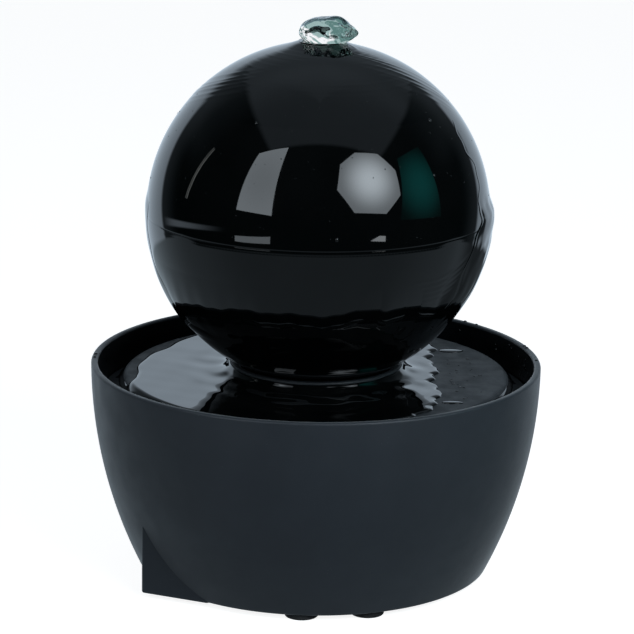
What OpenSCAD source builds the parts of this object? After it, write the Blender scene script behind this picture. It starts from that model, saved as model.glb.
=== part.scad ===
// Ball fountain: a ball on a catch tray in a tapered bowl, fed by a small submersible pump.
// Millimetres. The origin is on the floor under the ball's centre, +Z is up and -Y is the front.

/* [Bowl] */
// Outer radius at the rim
bowl_rim_r = 150; // [135:1:170]
// Outer radius at the underside
bowl_base_r = 117.3; // [105:0.1:125]
// Height from the underside to the rim
bowl_h = 139; // [125:1:170]
// Thickness of the side wall
bowl_wall = 4.5; // [3:0.1:6]
// Thickness of the floor
floor_t = 4; // [3:0.1:6]
// Rounding of the rim's two edges
lip_round = 1.5; // [0.5:0.1:1.5]
// Rounding of the outer edge at the underside
base_round = 2; // [1:0.1:4]
// Fillet between the floor and the wall inside
floor_fillet = 8; // [3:0.5:12]
// Depth below the rim of the ledge that carries the tray
ledge_drop = 26; // [22:1:36]
// Width of that ledge
ledge_w = 4.5; // [3:0.1:6]

/* [Feet] */
// Height of the underside above the ground
foot_drop = 4; // [3:0.1:8]
// Radius of a rubber pad
foot_r = 11; // [8:0.5:14]
// Radius of the circle of pads
foot_circle_r = 105; // [85:1:105]
// Half the angle between the two pads of a pair
foot_pair_angle = 11.8; // [9:0.1:16]
// Depth of the recess that a pad is glued into
foot_seat = 1; // [0.5:0.1:1.5]

/* [Cable duct] */
// Turn of the duct about the bowl's axis, in degrees
duct_turn = -23.2; // [-40:0.1:-10]
// Distance of the duct's near side from the duct's centre plane
duct_x1 = 24; // [20:1:34]
// Width of the duct across its front
duct_w = 46; // [40:1:50]
// Depth of the duct from its front to its back
duct_d = 30.3; // [28:0.1:36]
// How far inside the bowl's foot circle the front face stands
duct_inset = 2; // [0:0.1:4]
// Thickness of the duct's walls
duct_wall = 2.5; // [2:0.1:3.5]
// Width of the dry shaft in the duct
shaft_w = 30; // [28:0.5:34]
// Height of the duct's open top above the ground
duct_top = 100; // [85:1:105]
// Rounding of the duct's upright edges
duct_round = 2.4; // [1:0.1:2.4]

/* [Tray] */
// Depth below the rim of the tray's deck
deck_drop = 9; // [6:0.5:14]
// Thickness of the tray's walls
tray_wall = 3; // [2:0.1:4]
// Gap between the tray's flange and the bowl
tray_gap = 0.7; // [0.4:0.1:2]
// Width of the gutter around the deck
gutter_w = 13.8; // [11:0.1:18]
// Rounding of the deck's outer edge
deck_round = 5; // [3:0.5:7]
// Height of the collar around the ball's foot
collar_h = 9; // [5:0.5:12]
// Thickness of that collar
collar_wall = 4; // [2.5:0.5:6]
// Number of drain slots in the gutter
slot_count = 24; // [12:1:30]
// Length of a drain slot
slot_len = 16; // [8:1:20]
// Number of ribs under the deck
rib_count = 8; // [4:1:12]
// Depth of those ribs
rib_h = 8; // [4:1:8]

/* [Ball] */
// Outer radius of the ball
ball_r = 113.4; // [95:0.1:120]
// Height of the ball's cap that its flat foot cuts away
ball_cut = 3.9; // [3:0.1:6]
// Thickness of the ball's shell
shell_t = 3; // [2:0.1:4]
// Depth of the V groove at the seam
seam_depth = 0.8; // [0.4:0.1:1.2]
// Radius of the flat foot ring under the ball
foot_ring_r = 44; // [40:1:46]
// Outer radius of the neck that drops into the tray
neck_r = 33.5; // [28:0.5:36]
// Length of the neck below the deck
neck_len = 10; // [6:1:14]
// Height of the inner ring that joins the shells
joint_ring_h = 16; // [10:1:24]
// Thickness of that ring
joint_ring_t = 3; // [2:0.5:5]

/* [Riser and nozzle] */
// Outer radius of the riser pipe
riser_r = 9; // [7.5:0.1:10]
// Wall of the riser pipe
riser_wall = 2.5; // [1.5:0.1:2.5]
// Radius of the flat on top of the ball
crown_r = 16; // [15:0.5:20]
// Radius of the nozzle's flange
nozzle_flange_r = 14.5; // [13:0.5:14.5]
// Thickness of the nozzle's flange
nozzle_flange_t = 2.5; // [2:0.1:4]
// Radius of the jet's bore
jet_r = 5.5; // [3:0.1:6]
// Wall of the nozzle's stem around the riser
stem_wall = 1.6; // [1.2:0.1:2]
// Length of the nozzle's stem
stem_len = 18; // [16:1:26]
// Thickness of the washer under the shell
washer_t = 2; // [1:0.5:3]
// Thickness of the nozzle's nut
nozzle_nut_t = 5; // [4:0.5:8]

/* [Pump] */
// Height of the motor's axis above the ground
pump_z = 40; // [38:0.5:46]
// Length of the motor block
motor_len = 36; // [34:1:44]
// Half width of the motor block
motor_half_w = 22; // [21:0.5:25]
// Height of the motor block
motor_h = 43.5; // [43:0.5:50]
// Wall of the motor block
motor_wall = 2.2; // [1.6:0.1:2.5]
// Half length of the volute drum
volute_half = 8; // [8:0.5:10]
// Inner radius of the volute drum
volute_r = 15.5; // [14.5:0.1:17]
// Wall of the volute drum
volute_wall = 3; // [2.6:0.1:3.2]
// Outer radius of the outlet spigot
outlet_r = 6.3; // [5.5:0.1:6.4]
// Radius of the outlet's bore
outlet_bore = 4.6; // [3.5:0.1:4.8]
// Height of the outlet's mouth above the ground
outlet_top = 78; // [74:1:86]
// Radius of the rotor's well
well_r = 7.8; // [7.4:0.1:8]
// Wall of the rotor's well
well_wall = 1.2; // [0.8:0.1:1.4]
// Radius of the rotor magnet
rotor_r = 7; // [6:0.1:7]
// Radius of the impeller
impeller_r = 12.5; // [10:0.1:13.5]
// Number of impeller vanes
vane_count = 6; // [3:1:8]
// Radius of the fixed ceramic shaft
shaft_r = 1; // [0.8:0.1:1.4]
// Length of the intake cover
intake_len = 20; // [19:1:30]
// Wall of the intake cover
intake_wall = 2; // [1.5:0.1:2.5]
// Radius of the flow dial
dial_r = 8; // [6:0.5:9]

/* [Lead and socket] */
// Radius of the pump's lead
lead_r = 2; // [1.5:0.1:2.5]
// Height of the socket's centre above the ground
socket_z = 12; // [12:0.1:14]
// Radius of the socket's barrel
socket_r = 3.5; // [3:0.1:3.5]
// Radius of the socket's mouth
socket_bore = 2.75; // [2:0.05:2.75]
// Radius of the socket's flange
socket_flange_r = 4.8; // [4.5:0.1:4.8]

/* [Fits] */
// Radial clearance of a turning fit
run_clear = 0.05; // [0.02:0.01:0.1]
// Gap between pieces that slide or drop past each other
drop_clear = 0.5; // [0.3:0.1:1]
// Gap around pieces that are laid in place
lay_clear = 0.3; // [0.2:0.1:0.5]

/* [Hidden] */
$fn = 96;
over = 1; // how far a cutter runs past the face it cuts

// Bowl heights, and the circle of its side: upright at the rim, through the foot circle.
base_z = foot_drop;
floor_z = base_z + floor_t;
rim_z = base_z + bowl_h;
ledge_z = rim_z - ledge_drop;
side_in = bowl_rim_r - bowl_base_r;
side_r = (bowl_h * bowl_h + side_in * side_in) / (2 * side_in);
side_cx = bowl_rim_r - side_r;
ledge_r = side_x(ledge_z, bowl_wall) - ledge_w;
ledge_t = 2;

// Tray, worked inwards from the bowl's wall.
flange_r = side_x(ledge_z, bowl_wall) - tray_gap;
deck_r = flange_r - gutter_w;
deck_z = rim_z - deck_drop;
slot_r0 = deck_r + 2.5;
slot_r1 = ledge_r - 1;
neck_hole_r = neck_r + drop_clear;
socket_ring_t = 4;
rib_t = 2;

// Ball, standing on the deck.
ball_z = deck_z + ball_r - ball_cut;
inner_r = ball_r - shell_t;
seam_half = seam_depth;
neck_wall = 3;
neck_bottom = deck_z - neck_len;
foot_ring_top = ball_z - sqrt(inner_r * inner_r - foot_ring_r * foot_ring_r);
collar_in_r = ball_width(deck_z + collar_h) + 1.2;
joint_ring_r = sqrt(inner_r * inner_r - joint_ring_h * joint_ring_h / 4) - 0.1;
joint_ledge_h = 2;
guide_t = 3;
guide_ledge = 2.5;
guide_z = neck_bottom + 2;

// Nozzle, riser and their fits.
crown_z = ball_z + sqrt(ball_r * ball_r - crown_r * crown_r);
stem_r = riser_r + stem_wall;
stem_z = crown_z - stem_len;
jet_len = 6;
riser_top = crown_z + nozzle_flange_t - jet_len;
washer_top = ball_z + sqrt(inner_r * inner_r - nozzle_flange_r * nozzle_flange_r);
sleeve_grip = 12;
sleeve_r = riser_r + 2;
riser_bottom = outlet_top + 1;
sleeve_z = riser_bottom - sleeve_grip;

// Pump, along X with its outlet on the bowl's axis.
motor_x0 = -volute_half - motor_len;
motor_x1 = -volute_half;
motor_z0 = pump_z - motor_h + 18;
motor_round = 5;
cavity_x1 = motor_x1 - motor_wall;
well_x0 = motor_x0 + 8;
volute_x1 = volute_half;
drum_r = volute_r + volute_wall;
seal_in_r = drum_r - 2.1;
seal_out_r = drum_r - 0.9;
seal_t = 1;
cover_r = drum_r + 1;
cover_t = 2.4;
cover_hub_r = 3.6;
eye_r = 7.5;
spoke_t = 1.6;
bush_r = 2.4;
front_bush_x0 = volute_x1 - 1;
front_bush_x1 = volute_x1 + cover_t + 1.1;
rear_bush_t = 1.8;
rear_bush_r = 4;
rotor_x0 = well_x0 + rear_bush_t + 0.2;
rotor_x1 = cavity_x1 - 1.8;
hub_r = 3.5;
hub_x1 = front_bush_x0 - 0.2;
disc_x0 = motor_x1 + 1;
disc_t = 1.2;
vane_t = 1.6;
vane_x1 = volute_x1 - 3;
rotor_bore = shaft_r + run_clear;
neck_hub_r = 5;

// Motor inside: a U core whose legs hug the well, and a coil on its yoke.
core_x0 = motor_x0 + 10;
core_x1 = motor_x1 - 10;
core_t = 5;
yoke_z = motor_z0 + motor_wall + 3.2;
leg_in = 6.5;
leg_out = 14.5;
leg_top = pump_z + 8;
bobbin_t = 0.8;
flange_out = 2;
bobbin_gap = 0.2;
resin_t = 4;

// Intake cover, sponge and dial.
intake_half = cover_r + lay_clear + intake_wall;
intake_x0 = outlet_r + 0.7;
intake_x1 = intake_x0 + intake_len;
bar_gap = 3;
bar_w = 2;
slot_half = 14;
axle_r = 2.5;
shutter_r = 15;
shutter_t = 1.2;
shutter_x1 = intake_x1 - intake_wall - lay_clear;
knob_x0 = intake_x1 + lay_clear;
knob_t = 4;
sponge_x0 = front_bush_x1 + 0.5;
sponge_x1 = shutter_x1 - shutter_t - 0.7;

// Suction cups under the motor block.
cup_r = 7.2;
cup_stem_r = 1.9;
cup_stem_h = 1.4;
cup_x = [motor_x0 + 8, motor_x1 - 6];
cup_y = [-14, 14];

// Duct, in its own turned frame: its front faces -Y and its socket -X.
duct_y0 = -(bowl_base_r - duct_inset);
duct_x0 = -(duct_x1 + duct_w);
duct_foot = base_z + 0.4;
shaft_x0 = duct_x0 + duct_wall + 1;
shaft_floor = base_z + 2.5;
socket_y = duct_y0 + 9.8;
socket_flange_t = 1;
socket_seal_t = 0.6;
socket_x0 = duct_x0 - socket_seal_t - socket_flange_t;
socket_len = 13;
socket_depth = 9;
inlet_nut_t = 2.5;
inlet_pin_r = 0.9;

// Gland and lead. The route runs from the gland to the duct, over its edge and down to the socket.
gland_z = pump_z + 10;
gland_r = 4.5;
gland_len = 12;
gland_x = motor_x0 - gland_len;
lead_sides = 8;
lead_steps = 4;
lead_up = duct_point([-46, -72, 0]);
lead_down = duct_point([-43, duct_y0 + 13.8, 0]);
lead_start = [-1, 0, 0];
lead_finish = duct_point(lead_start);
lead_points = [
    [gland_x, 0, gland_z],
    [gland_x - 8, 0, gland_z],
    [gland_x - 16, -8, gland_z],
    [lead_up.x, lead_up.y + 22, gland_z + 2],
    [lead_up.x, lead_up.y + 6, gland_z + 14],
    [lead_up.x, lead_up.y, duct_top - 22],
    [lead_up.x, lead_up.y, duct_top - 4],
    duct_point([-45.5, -75.5, duct_top + 7]),
    duct_point([-45, -86.5, duct_top + 13]),
    duct_point([-44, duct_y0 + 18, duct_top + 7]),
    [lead_down.x, lead_down.y, duct_top - 5],
    [lead_down.x, lead_down.y, 62],
    [lead_down.x, lead_down.y, 34],
    duct_point([-43.5, socket_y + 2.5, 23]),
    duct_point([-48.5, socket_y + 0.6, 14]),
    duct_point([socket_x0 + socket_len, socket_y, socket_z])
];

// Radius of the bowl's side at a height, set in from its outer face.
function side_x(z, inset) = side_cx + sqrt(pow(side_r - inset, 2) - pow(rim_z - z, 2));

// Radius of the ball at a height.
function ball_width(z) = sqrt(ball_r * ball_r - pow(ball_z - z, 2));

// Points of an arc from angle a0 to a1, in n steps.
function arc(c, r, a0, a1, n) = [
    for (i = [0 : n]) c + r * [cos(a0 + (a1 - a0) * i / n), sin(a0 + (a1 - a0) * i / n)]
];

// Angle on the bowl's side circle, for a radius r about its centre, at which the height is z.
function side_angle(r, z) = -asin((rim_z - z) / r);

// Outline of a rectangle with rounded corners, centred on the origin.
function rounded(w, d, r) = concat(
    arc([w / 2 - r, d / 2 - r], r, 0, 90, 5),
    arc([r - w / 2, d / 2 - r], r, 90, 180, 5),
    arc([r - w / 2, r - d / 2], r, 180, 270, 5),
    arc([w / 2 - r, r - d / 2], r, 270, 360, 5)
);

// A point of the duct's turned frame in the object's frame.
function duct_point(p) = [
    p.x * cos(duct_turn) - p.y * sin(duct_turn),
    p.x * sin(duct_turn) + p.y * cos(duct_turn),
    p.z
];

module at_duct() {
    rotate([0, 0, duct_turn]) children();
}

// A rod along X on the pump's axis.
module axis_rod(x0, x1, r) {
    translate([x0, 0, pump_z]) rotate([0, 90, 0]) cylinder(h = x1 - x0, r = r);
}

// A block between two corners.
module span(a, b) {
    translate(a) cube(b - a);
}

// Places children at the six pads: three pairs, one of them at the front.
module at_feet() {
    for (pair = [278, 38, 158], side = [-1, 1]) {
        rotate([0, 0, pair + side * foot_pair_angle]) translate([foot_circle_r, 0, 0]) children();
    }
}

function base_corner() = [
    side_cx + sqrt(pow(side_r - base_round, 2) - pow(rim_z - base_z - base_round, 2)),
    base_z + base_round
];

function floor_corner() = [
    side_cx + sqrt(
        pow(side_r - bowl_wall - floor_fillet, 2) - pow(rim_z - floor_z - floor_fillet, 2)
    ),
    floor_z + floor_fillet
];

// Half section of the bowl: up the outside, over the lip, down the inside past the ledge.
function bowl_outline() = let (
    centre = [side_cx, rim_z],
    in_r = side_r - bowl_wall,
    lip_z = rim_z - lip_round,
    ledge_foot = ledge_z - ledge_t - ledge_w,
    base_angle = side_angle(side_r - base_round, base_z + base_round),
    fillet_angle = side_angle(in_r - floor_fillet, floor_z + floor_fillet)
) concat(
    [[0, base_z]],
    arc(base_corner(), base_round, -90, base_angle, 3),
    arc(centre, side_r, base_angle + 0.5, side_angle(side_r, lip_z), 12),
    arc([side_x(lip_z, lip_round), lip_z], lip_round, 18, 90, 4),
    arc([side_x(lip_z, bowl_wall - lip_round), lip_z], lip_round, 90, 180, 5),
    arc(centre, in_r, side_angle(in_r, lip_z - 1), side_angle(in_r, ledge_z), 3),
    [[ledge_r, ledge_z], [ledge_r, ledge_z - ledge_t]],
    arc(centre, in_r, side_angle(in_r, ledge_foot), fillet_angle, 9),
    arc(floor_corner(), floor_fillet, fillet_angle - 8, -90, 4),
    [[0, floor_z]]
);

module bowl() {
    color([0.16, 0.17, 0.19])
    difference() {
        union() {
            rotate_extrude($fn = 180) polygon(bowl_outline());
            at_duct()
            translate([(duct_x0 - duct_x1) / 2, duct_y0 + duct_d / 2, duct_foot])
            linear_extrude(duct_top - duct_foot) polygon(rounded(duct_w, duct_d, duct_round));
        }
        // dry shaft for the lead
        at_duct() span(
            [shaft_x0, duct_y0 + duct_wall, shaft_floor],
            [shaft_x0 + shaft_w, duct_y0 + duct_d - duct_wall, duct_top + over]
        );
        // hole for the socket
        at_duct() translate([duct_x0 - over, socket_y, socket_z])
        rotate([0, 90, 0]) cylinder(h = duct_wall + 3, r = socket_r, $fn = 48);
        // recesses for the pads
        at_feet() translate([0, 0, base_z - over])
        cylinder(h = foot_seat + over, r = foot_r + 0.2, $fn = 48);
    }
}

module rubber_feet() {
    top = base_z + foot_seat;
    color([0.05, 0.05, 0.05])
    at_feet() rotate_extrude($fn = 48)
    polygon(concat([[0, 0], [foot_r - 1, 0]], arc([foot_r - 1, 1], 1, -60, 0, 2), [[foot_r, top], [0, top]]));
}

module inlet_socket() {
    color([0.08, 0.08, 0.08])
    at_duct() translate([socket_x0, socket_y, socket_z]) rotate([0, 90, 0])
    difference() {
        union() {
            cylinder(h = socket_flange_t, r = socket_flange_r, $fn = 48);
            cylinder(h = socket_len, r = socket_r, $fn = 48);
        }
        translate([0, 0, -over]) cylinder(h = socket_depth + over, r = socket_bore, $fn = 48);
        translate([0, 0, socket_depth - over]) cylinder(h = over + 1.5, r = inlet_pin_r, $fn = 24);
    }
}

module inlet_pin() {
    length = socket_depth + 0.5;
    color([0.85, 0.7, 0.35])
    at_duct() translate([socket_x0 + socket_depth + 1.5 - length, socket_y, socket_z]) rotate([0, 90, 0])
    cylinder(h = length, r = inlet_pin_r, $fn = 24);
}

module inlet_seal() {
    color([0.1, 0.1, 0.1])
    at_duct() translate([duct_x0 - socket_seal_t, socket_y, socket_z]) rotate([0, 90, 0])
    difference() {
        cylinder(h = socket_seal_t, r = socket_flange_r, $fn = 48);
        translate([0, 0, -over]) cylinder(h = socket_seal_t + 2 * over, r = socket_r, $fn = 48);
    }
}

module inlet_nut() {
    color([0.75, 0.75, 0.72])
    at_duct() translate([shaft_x0, socket_y, socket_z]) rotate([0, 90, 0])
    difference() {
        cylinder(h = inlet_nut_t, r = socket_r + 1.5, $fn = 6);
        translate([0, 0, -over]) cylinder(h = inlet_nut_t + 2 * over, r = socket_r, $fn = 48);
    }
}

// Half section of the tray: under the flange, up its edge, over the gutter and deck to the collar.
function tray_outline() = let (
    collar_out_r = collar_in_r + collar_wall,
    collar_z = deck_z + collar_h,
    round_in = deck_round - tray_wall
) concat(
    [[deck_r - tray_wall, ledge_z], [flange_r, ledge_z], [flange_r, ledge_z + tray_wall]],
    [[deck_r + 1, ledge_z + tray_wall], [deck_r, ledge_z + tray_wall + 1]],
    arc([deck_r - deck_round, deck_z - deck_round], deck_round, 0, 90, 6),
    arc([collar_out_r + 2, deck_z + 2], 2, 270, 180, 4),
    arc([collar_out_r - 1, collar_z - 1], 1, 0, 90, 3),
    arc([collar_in_r + 1, collar_z - 1], 1, 90, 180, 3),
    [[collar_in_r, deck_z], [neck_hole_r, deck_z]],
    [[neck_hole_r, neck_bottom + 1], [neck_hole_r + socket_ring_t, neck_bottom + 1]],
    [[neck_hole_r + socket_ring_t, deck_z - tray_wall]],
    arc([deck_r - deck_round, deck_z - deck_round], round_in, 90, 0, 3)
);

module tray() {
    color([0.05, 0.055, 0.06])
    difference() {
        union() {
            rotate_extrude($fn = 180) polygon(tray_outline());
            for (i = [0 : rib_count - 1]) {
                rotate([0, 0, (i + 0.5) * 360 / rib_count]) span(
                    [neck_hole_r + socket_ring_t - 1, -rib_t / 2, deck_z - tray_wall - rib_h],
                    [deck_r - tray_wall + 1, rib_t / 2, deck_z - tray_wall + 1]
                );
            }
        }
        for (i = [0 : slot_count - 1]) {
            rotate([0, 0, i * 360 / slot_count]) span(
                [slot_r0, -slot_len / 2, ledge_z - over],
                [slot_r1, slot_len / 2, ledge_z + tray_wall + over]
            );
        }
    }
}

module seam_groove() {
    rotate_extrude($fn = 180) polygon([
        [ball_r - seam_depth, ball_z],
        [ball_r + over, ball_z - seam_half - over],
        [ball_r + over, ball_z + seam_half + over]
    ]);
}

module lower_shell() {
    ledge_top = ball_z - joint_ring_h / 2;
    color([0.02, 0.02, 0.025])
    difference() {
        union() {
            difference() {
                translate([0, 0, ball_z]) sphere(r = ball_r, $fn = 180);
                translate([0, 0, ball_z]) sphere(r = inner_r, $fn = 180);
                span([-ball_r - over, -ball_r - over, ball_z], [ball_r + over, ball_r + over, ball_z + ball_r + over]);
                span([-ball_r, -ball_r, ball_z - ball_r - over], [ball_r, ball_r, deck_z]);
            }
            translate([0, 0, deck_z]) cylinder(h = foot_ring_top - deck_z, r = foot_ring_r);
            translate([0, 0, neck_bottom]) cylinder(h = foot_ring_top - neck_bottom, r = neck_r);
            // ledge under the joint ring
            translate([0, 0, ledge_top - joint_ledge_h]) difference() {
                cylinder(h = joint_ledge_h, r = inner_r + 0.5, $fn = 180);
                translate([0, 0, -over]) cylinder(
                    h = joint_ledge_h + 2 * over, r = joint_ring_r - joint_ring_t, $fn = 180
                );
            }
        }
        translate([0, 0, guide_z]) cylinder(h = foot_ring_top - guide_z + over, r = neck_r - neck_wall);
        translate([0, 0, neck_bottom - over]) cylinder(h = over + 3, r = neck_r - neck_wall - guide_ledge);
        seam_groove();
    }
}

module upper_shell() {
    color([0.02, 0.02, 0.025])
    difference() {
        translate([0, 0, ball_z]) sphere(r = ball_r, $fn = 180);
        translate([0, 0, ball_z]) sphere(r = inner_r, $fn = 180);
        span([-ball_r - over, -ball_r - over, ball_z - ball_r - over], [ball_r + over, ball_r + over, ball_z]);
        span([-ball_r, -ball_r, crown_z], [ball_r, ball_r, ball_z + ball_r + over]);
        translate([0, 0, ball_z]) cylinder(h = ball_r, r = stem_r);
        seam_groove();
    }
}

module equator_ring() {
    color([0.12, 0.12, 0.13])
    translate([0, 0, ball_z - joint_ring_h / 2])
    difference() {
        cylinder(h = joint_ring_h, r = joint_ring_r, $fn = 180);
        translate([0, 0, -over]) cylinder(h = joint_ring_h + 2 * over, r = joint_ring_r - joint_ring_t, $fn = 180);
    }
}

module nozzle() {
    color([0.1, 0.1, 0.11])
    difference() {
        union() {
            translate([0, 0, crown_z]) cylinder(h = nozzle_flange_t, r = nozzle_flange_r);
            translate([0, 0, stem_z]) cylinder(h = stem_len + 1, r = stem_r);
        }
        translate([0, 0, stem_z - over]) cylinder(h = riser_top - stem_z + over, r = riser_r);
        translate([0, 0, riser_top - over]) cylinder(h = jet_len + 2 * over, r = jet_r);
    }
}

module nozzle_washer() {
    color([0.08, 0.08, 0.08])
    translate([0, 0, washer_top - washer_t])
    difference() {
        cylinder(h = washer_t, r = nozzle_flange_r);
        translate([0, 0, -over]) cylinder(h = washer_t + 2 * over, r = stem_r);
    }
}

module nozzle_nut() {
    color([0.1, 0.1, 0.11])
    translate([0, 0, washer_top - washer_t - nozzle_nut_t])
    difference() {
        cylinder(h = nozzle_nut_t, r = nozzle_flange_r + 1, $fn = 6);
        translate([0, 0, -over]) cylinder(h = nozzle_nut_t + 2 * over, r = stem_r);
    }
}

module riser_tube() {
    color([0.75, 0.78, 0.8])
    translate([0, 0, riser_bottom])
    difference() {
        cylinder(h = riser_top - riser_bottom, r = riser_r);
        translate([0, 0, -over]) cylinder(h = riser_top - riser_bottom + 2 * over, r = riser_r - riser_wall);
    }
}

module riser_guide() {
    color([0.12, 0.12, 0.13])
    translate([0, 0, guide_z])
    difference() {
        cylinder(h = guide_t, r = neck_r - neck_wall - lay_clear);
        translate([0, 0, -over]) cylinder(h = guide_t + 2 * over, r = riser_r + lay_clear);
        for (i = [0 : 5]) {
            rotate([0, 0, i * 60]) translate([(riser_r + neck_r - neck_wall) / 2, 0, -over])
            cylinder(h = guide_t + 2 * over, r = 4, $fn = 48);
        }
    }
}

module riser_seal() {
    color([0.08, 0.08, 0.08])
    translate([0, 0, sleeve_z])
    difference() {
        cylinder(h = 2 * sleeve_grip, r = sleeve_r);
        translate([0, 0, -over]) cylinder(h = sleeve_grip + 2 * over, r = outlet_r + run_clear);
        translate([0, 0, sleeve_grip]) cylinder(h = sleeve_grip + over, r = riser_r);
    }
}

// The room for the stator, around the rotor's well and open at the back.
module motor_cavity() {
    half = motor_half_w - motor_wall;
    difference() {
        span(
            [motor_x0 - over, -half, motor_z0 + motor_wall],
            [cavity_x1, half, motor_z0 + motor_h - motor_wall]
        );
        axis_rod(well_x0 - well_wall, cavity_x1 + over, well_r + well_wall);
    }
}

module pump_housing() {
    color([0.09, 0.09, 0.1])
    difference() {
        union() {
            translate([motor_x0 + motor_len / 2, 0, motor_z0])
            linear_extrude(motor_h) polygon(rounded(motor_len, 2 * motor_half_w, motor_round));
            axis_rod(motor_x1 - 1, volute_x1, drum_r);
            translate([0, 0, pump_z]) cylinder(h = outlet_top - pump_z, r = outlet_r);
            translate([0, 0, pump_z]) cylinder(h = drum_r + 3, r = outlet_r + 1.2 - 0.6);
        }
        motor_cavity();
        axis_rod(well_x0, motor_x1 + over, well_r);
        axis_rod(motor_x1, volute_x1 + over, volute_r);
        translate([0, 0, pump_z]) cylinder(h = outlet_top - pump_z + over, r = outlet_bore);
        // groove for the drum's seal
        difference() {
            axis_rod(volute_x1 - seal_t, volute_x1 + over, seal_out_r);
            axis_rod(volute_x1 - seal_t - over, volute_x1 + 2 * over, seal_in_r);
        }
        for (x = cup_x, y = cup_y) {
            translate([x, y, motor_z0 - over]) cylinder(h = cup_stem_h + over, r = cup_stem_r + 0.1, $fn = 24);
        }
    }
}

module resin_potting() {
    half = motor_half_w - motor_wall;
    color([0.2, 0.2, 0.21])
    difference() {
        intersection() {
            span(
                [motor_x0, -half, motor_z0 + motor_wall],
                [motor_x0 + resin_t, half, motor_z0 + motor_h - motor_wall]
            );
            translate([motor_x0 + motor_len / 2, 0, motor_z0])
            linear_extrude(motor_h) polygon(rounded(motor_len, 2 * motor_half_w, motor_round));
        }
        translate([motor_x0 - over, 0, gland_z]) rotate([0, 90, 0])
        cylinder(h = resin_t + 2 * over, r = gland_r, $fn = 48);
    }
}

module pump_gland() {
    color([0.07, 0.07, 0.07])
    translate([motor_x0 + resin_t, 0, gland_z]) rotate([0, -90, 0])
    union() {
        cylinder(h = resin_t + 2, r = gland_r, $fn = 48);
        translate([0, 0, resin_t + 1]) cylinder(h = 4, r = gland_r - 0.7, $fn = 48);
        cylinder(h = resin_t + gland_len, r = lead_r + 0.8, $fn = 48);
        for (i = [0 : 2]) {
            translate([0, 0, resin_t + 5.5 + 2.2 * i]) cylinder(h = 1.2, r = gland_r - 1.1 - 0.2 * i, $fn = 48);
        }
    }
}

module stator_core() {
    color([0.5, 0.5, 0.52])
    difference() {
        union() {
            span([core_x0, -leg_out, yoke_z], [core_x1, leg_out, yoke_z + core_t]);
            for (side = [-1, 1]) {
                span(
                    [core_x0, side > 0 ? leg_in : -leg_out, motor_z0 + motor_wall],
                    [core_x1, side > 0 ? leg_out : -leg_in, leg_top]
                );
            }
        }
        axis_rod(core_x0 - over, core_x1 + over, well_r + well_wall + 0.3);
    }
}

// A block around the yoke that stands grow past it, from -half_len to half_len.
module around_yoke(grow, half_len) {
    span(
        [core_x0 - grow, -half_len, yoke_z - grow],
        [core_x1 + grow, half_len, yoke_z + core_t + grow]
    );
}

module coil_bobbin() {
    half = leg_in - bobbin_gap;
    color([0.85, 0.82, 0.7])
    difference() {
        union() {
            around_yoke(bobbin_gap + bobbin_t, half);
            for (side = [-1, 1]) {
                translate([0, side * (half - 0.5), 0]) around_yoke(bobbin_gap + bobbin_t + flange_out, 0.5);
            }
        }
        around_yoke(bobbin_gap, half + over);
    }
}

module coil_winding() {
    half = leg_in - bobbin_gap - 1;
    color([0.72, 0.38, 0.2])
    difference() {
        around_yoke(bobbin_gap + bobbin_t + flange_out - 0.2, half);
        around_yoke(bobbin_gap + bobbin_t, half + over);
    }
}

module rotor_magnet() {
    color([0.25, 0.24, 0.25])
    difference() {
        axis_rod(rotor_x0, rotor_x1, rotor_r);
        axis_rod(rotor_x0 - over, rotor_x1 + over, rotor_bore);
    }
}

module impeller() {
    color([0.8, 0.8, 0.78])
    difference() {
        union() {
            axis_rod(rotor_x1, disc_x0, neck_hub_r);
            axis_rod(disc_x0, disc_x0 + disc_t, impeller_r);
            axis_rod(disc_x0, hub_x1, hub_r);
            for (i = [0 : vane_count - 1]) {
                translate([0, 0, pump_z]) rotate([i * 360 / vane_count, 0, 0]) span(
                    [disc_x0 + disc_t - 0.5, -vane_t / 2, hub_r - 1],
                    [vane_x1, vane_t / 2, impeller_r - 0.1]
                );
            }
        }
        axis_rod(rotor_x1 - over, hub_x1 + over, rotor_bore);
    }
}

module impeller_shaft() {
    color([0.93, 0.92, 0.88])
    axis_rod(well_x0 + 0.2, front_bush_x1 - 0.4, shaft_r);
}

module rear_bush() {
    color([0.1, 0.1, 0.1])
    difference() {
        axis_rod(well_x0, well_x0 + rear_bush_t, rear_bush_r);
        axis_rod(well_x0 + 0.2, well_x0 + rear_bush_t + over, shaft_r);
    }
}

module front_bush() {
    color([0.1, 0.1, 0.1])
    difference() {
        axis_rod(front_bush_x0, front_bush_x1, bush_r);
        axis_rod(front_bush_x0 - over, front_bush_x1 - 0.4, shaft_r);
    }
}

module volute_seal() {
    color([0.12, 0.12, 0.12])
    difference() {
        axis_rod(volute_x1 - seal_t, volute_x1, seal_out_r);
        axis_rod(volute_x1 - seal_t - over, volute_x1 + over, seal_in_r);
    }
}

module volute_cover() {
    color([0.12, 0.12, 0.13])
    difference() {
        union() {
            difference() {
                axis_rod(volute_x1, volute_x1 + cover_t, cover_r);
                axis_rod(volute_x1 - over, volute_x1 + cover_t + over, eye_r);
            }
            axis_rod(volute_x1, volute_x1 + cover_t, cover_hub_r);
            for (i = [0 : 2]) {
                translate([0, 0, pump_z]) rotate([i * 120, 0, 0])
                span([volute_x1, -spoke_t / 2, bush_r + 0.5], [volute_x1 + cover_t, spoke_t / 2, eye_r + 1]);
            }
        }
        axis_rod(volute_x1 - over, volute_x1 + cover_t + over, bush_r);
    }
}

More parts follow.
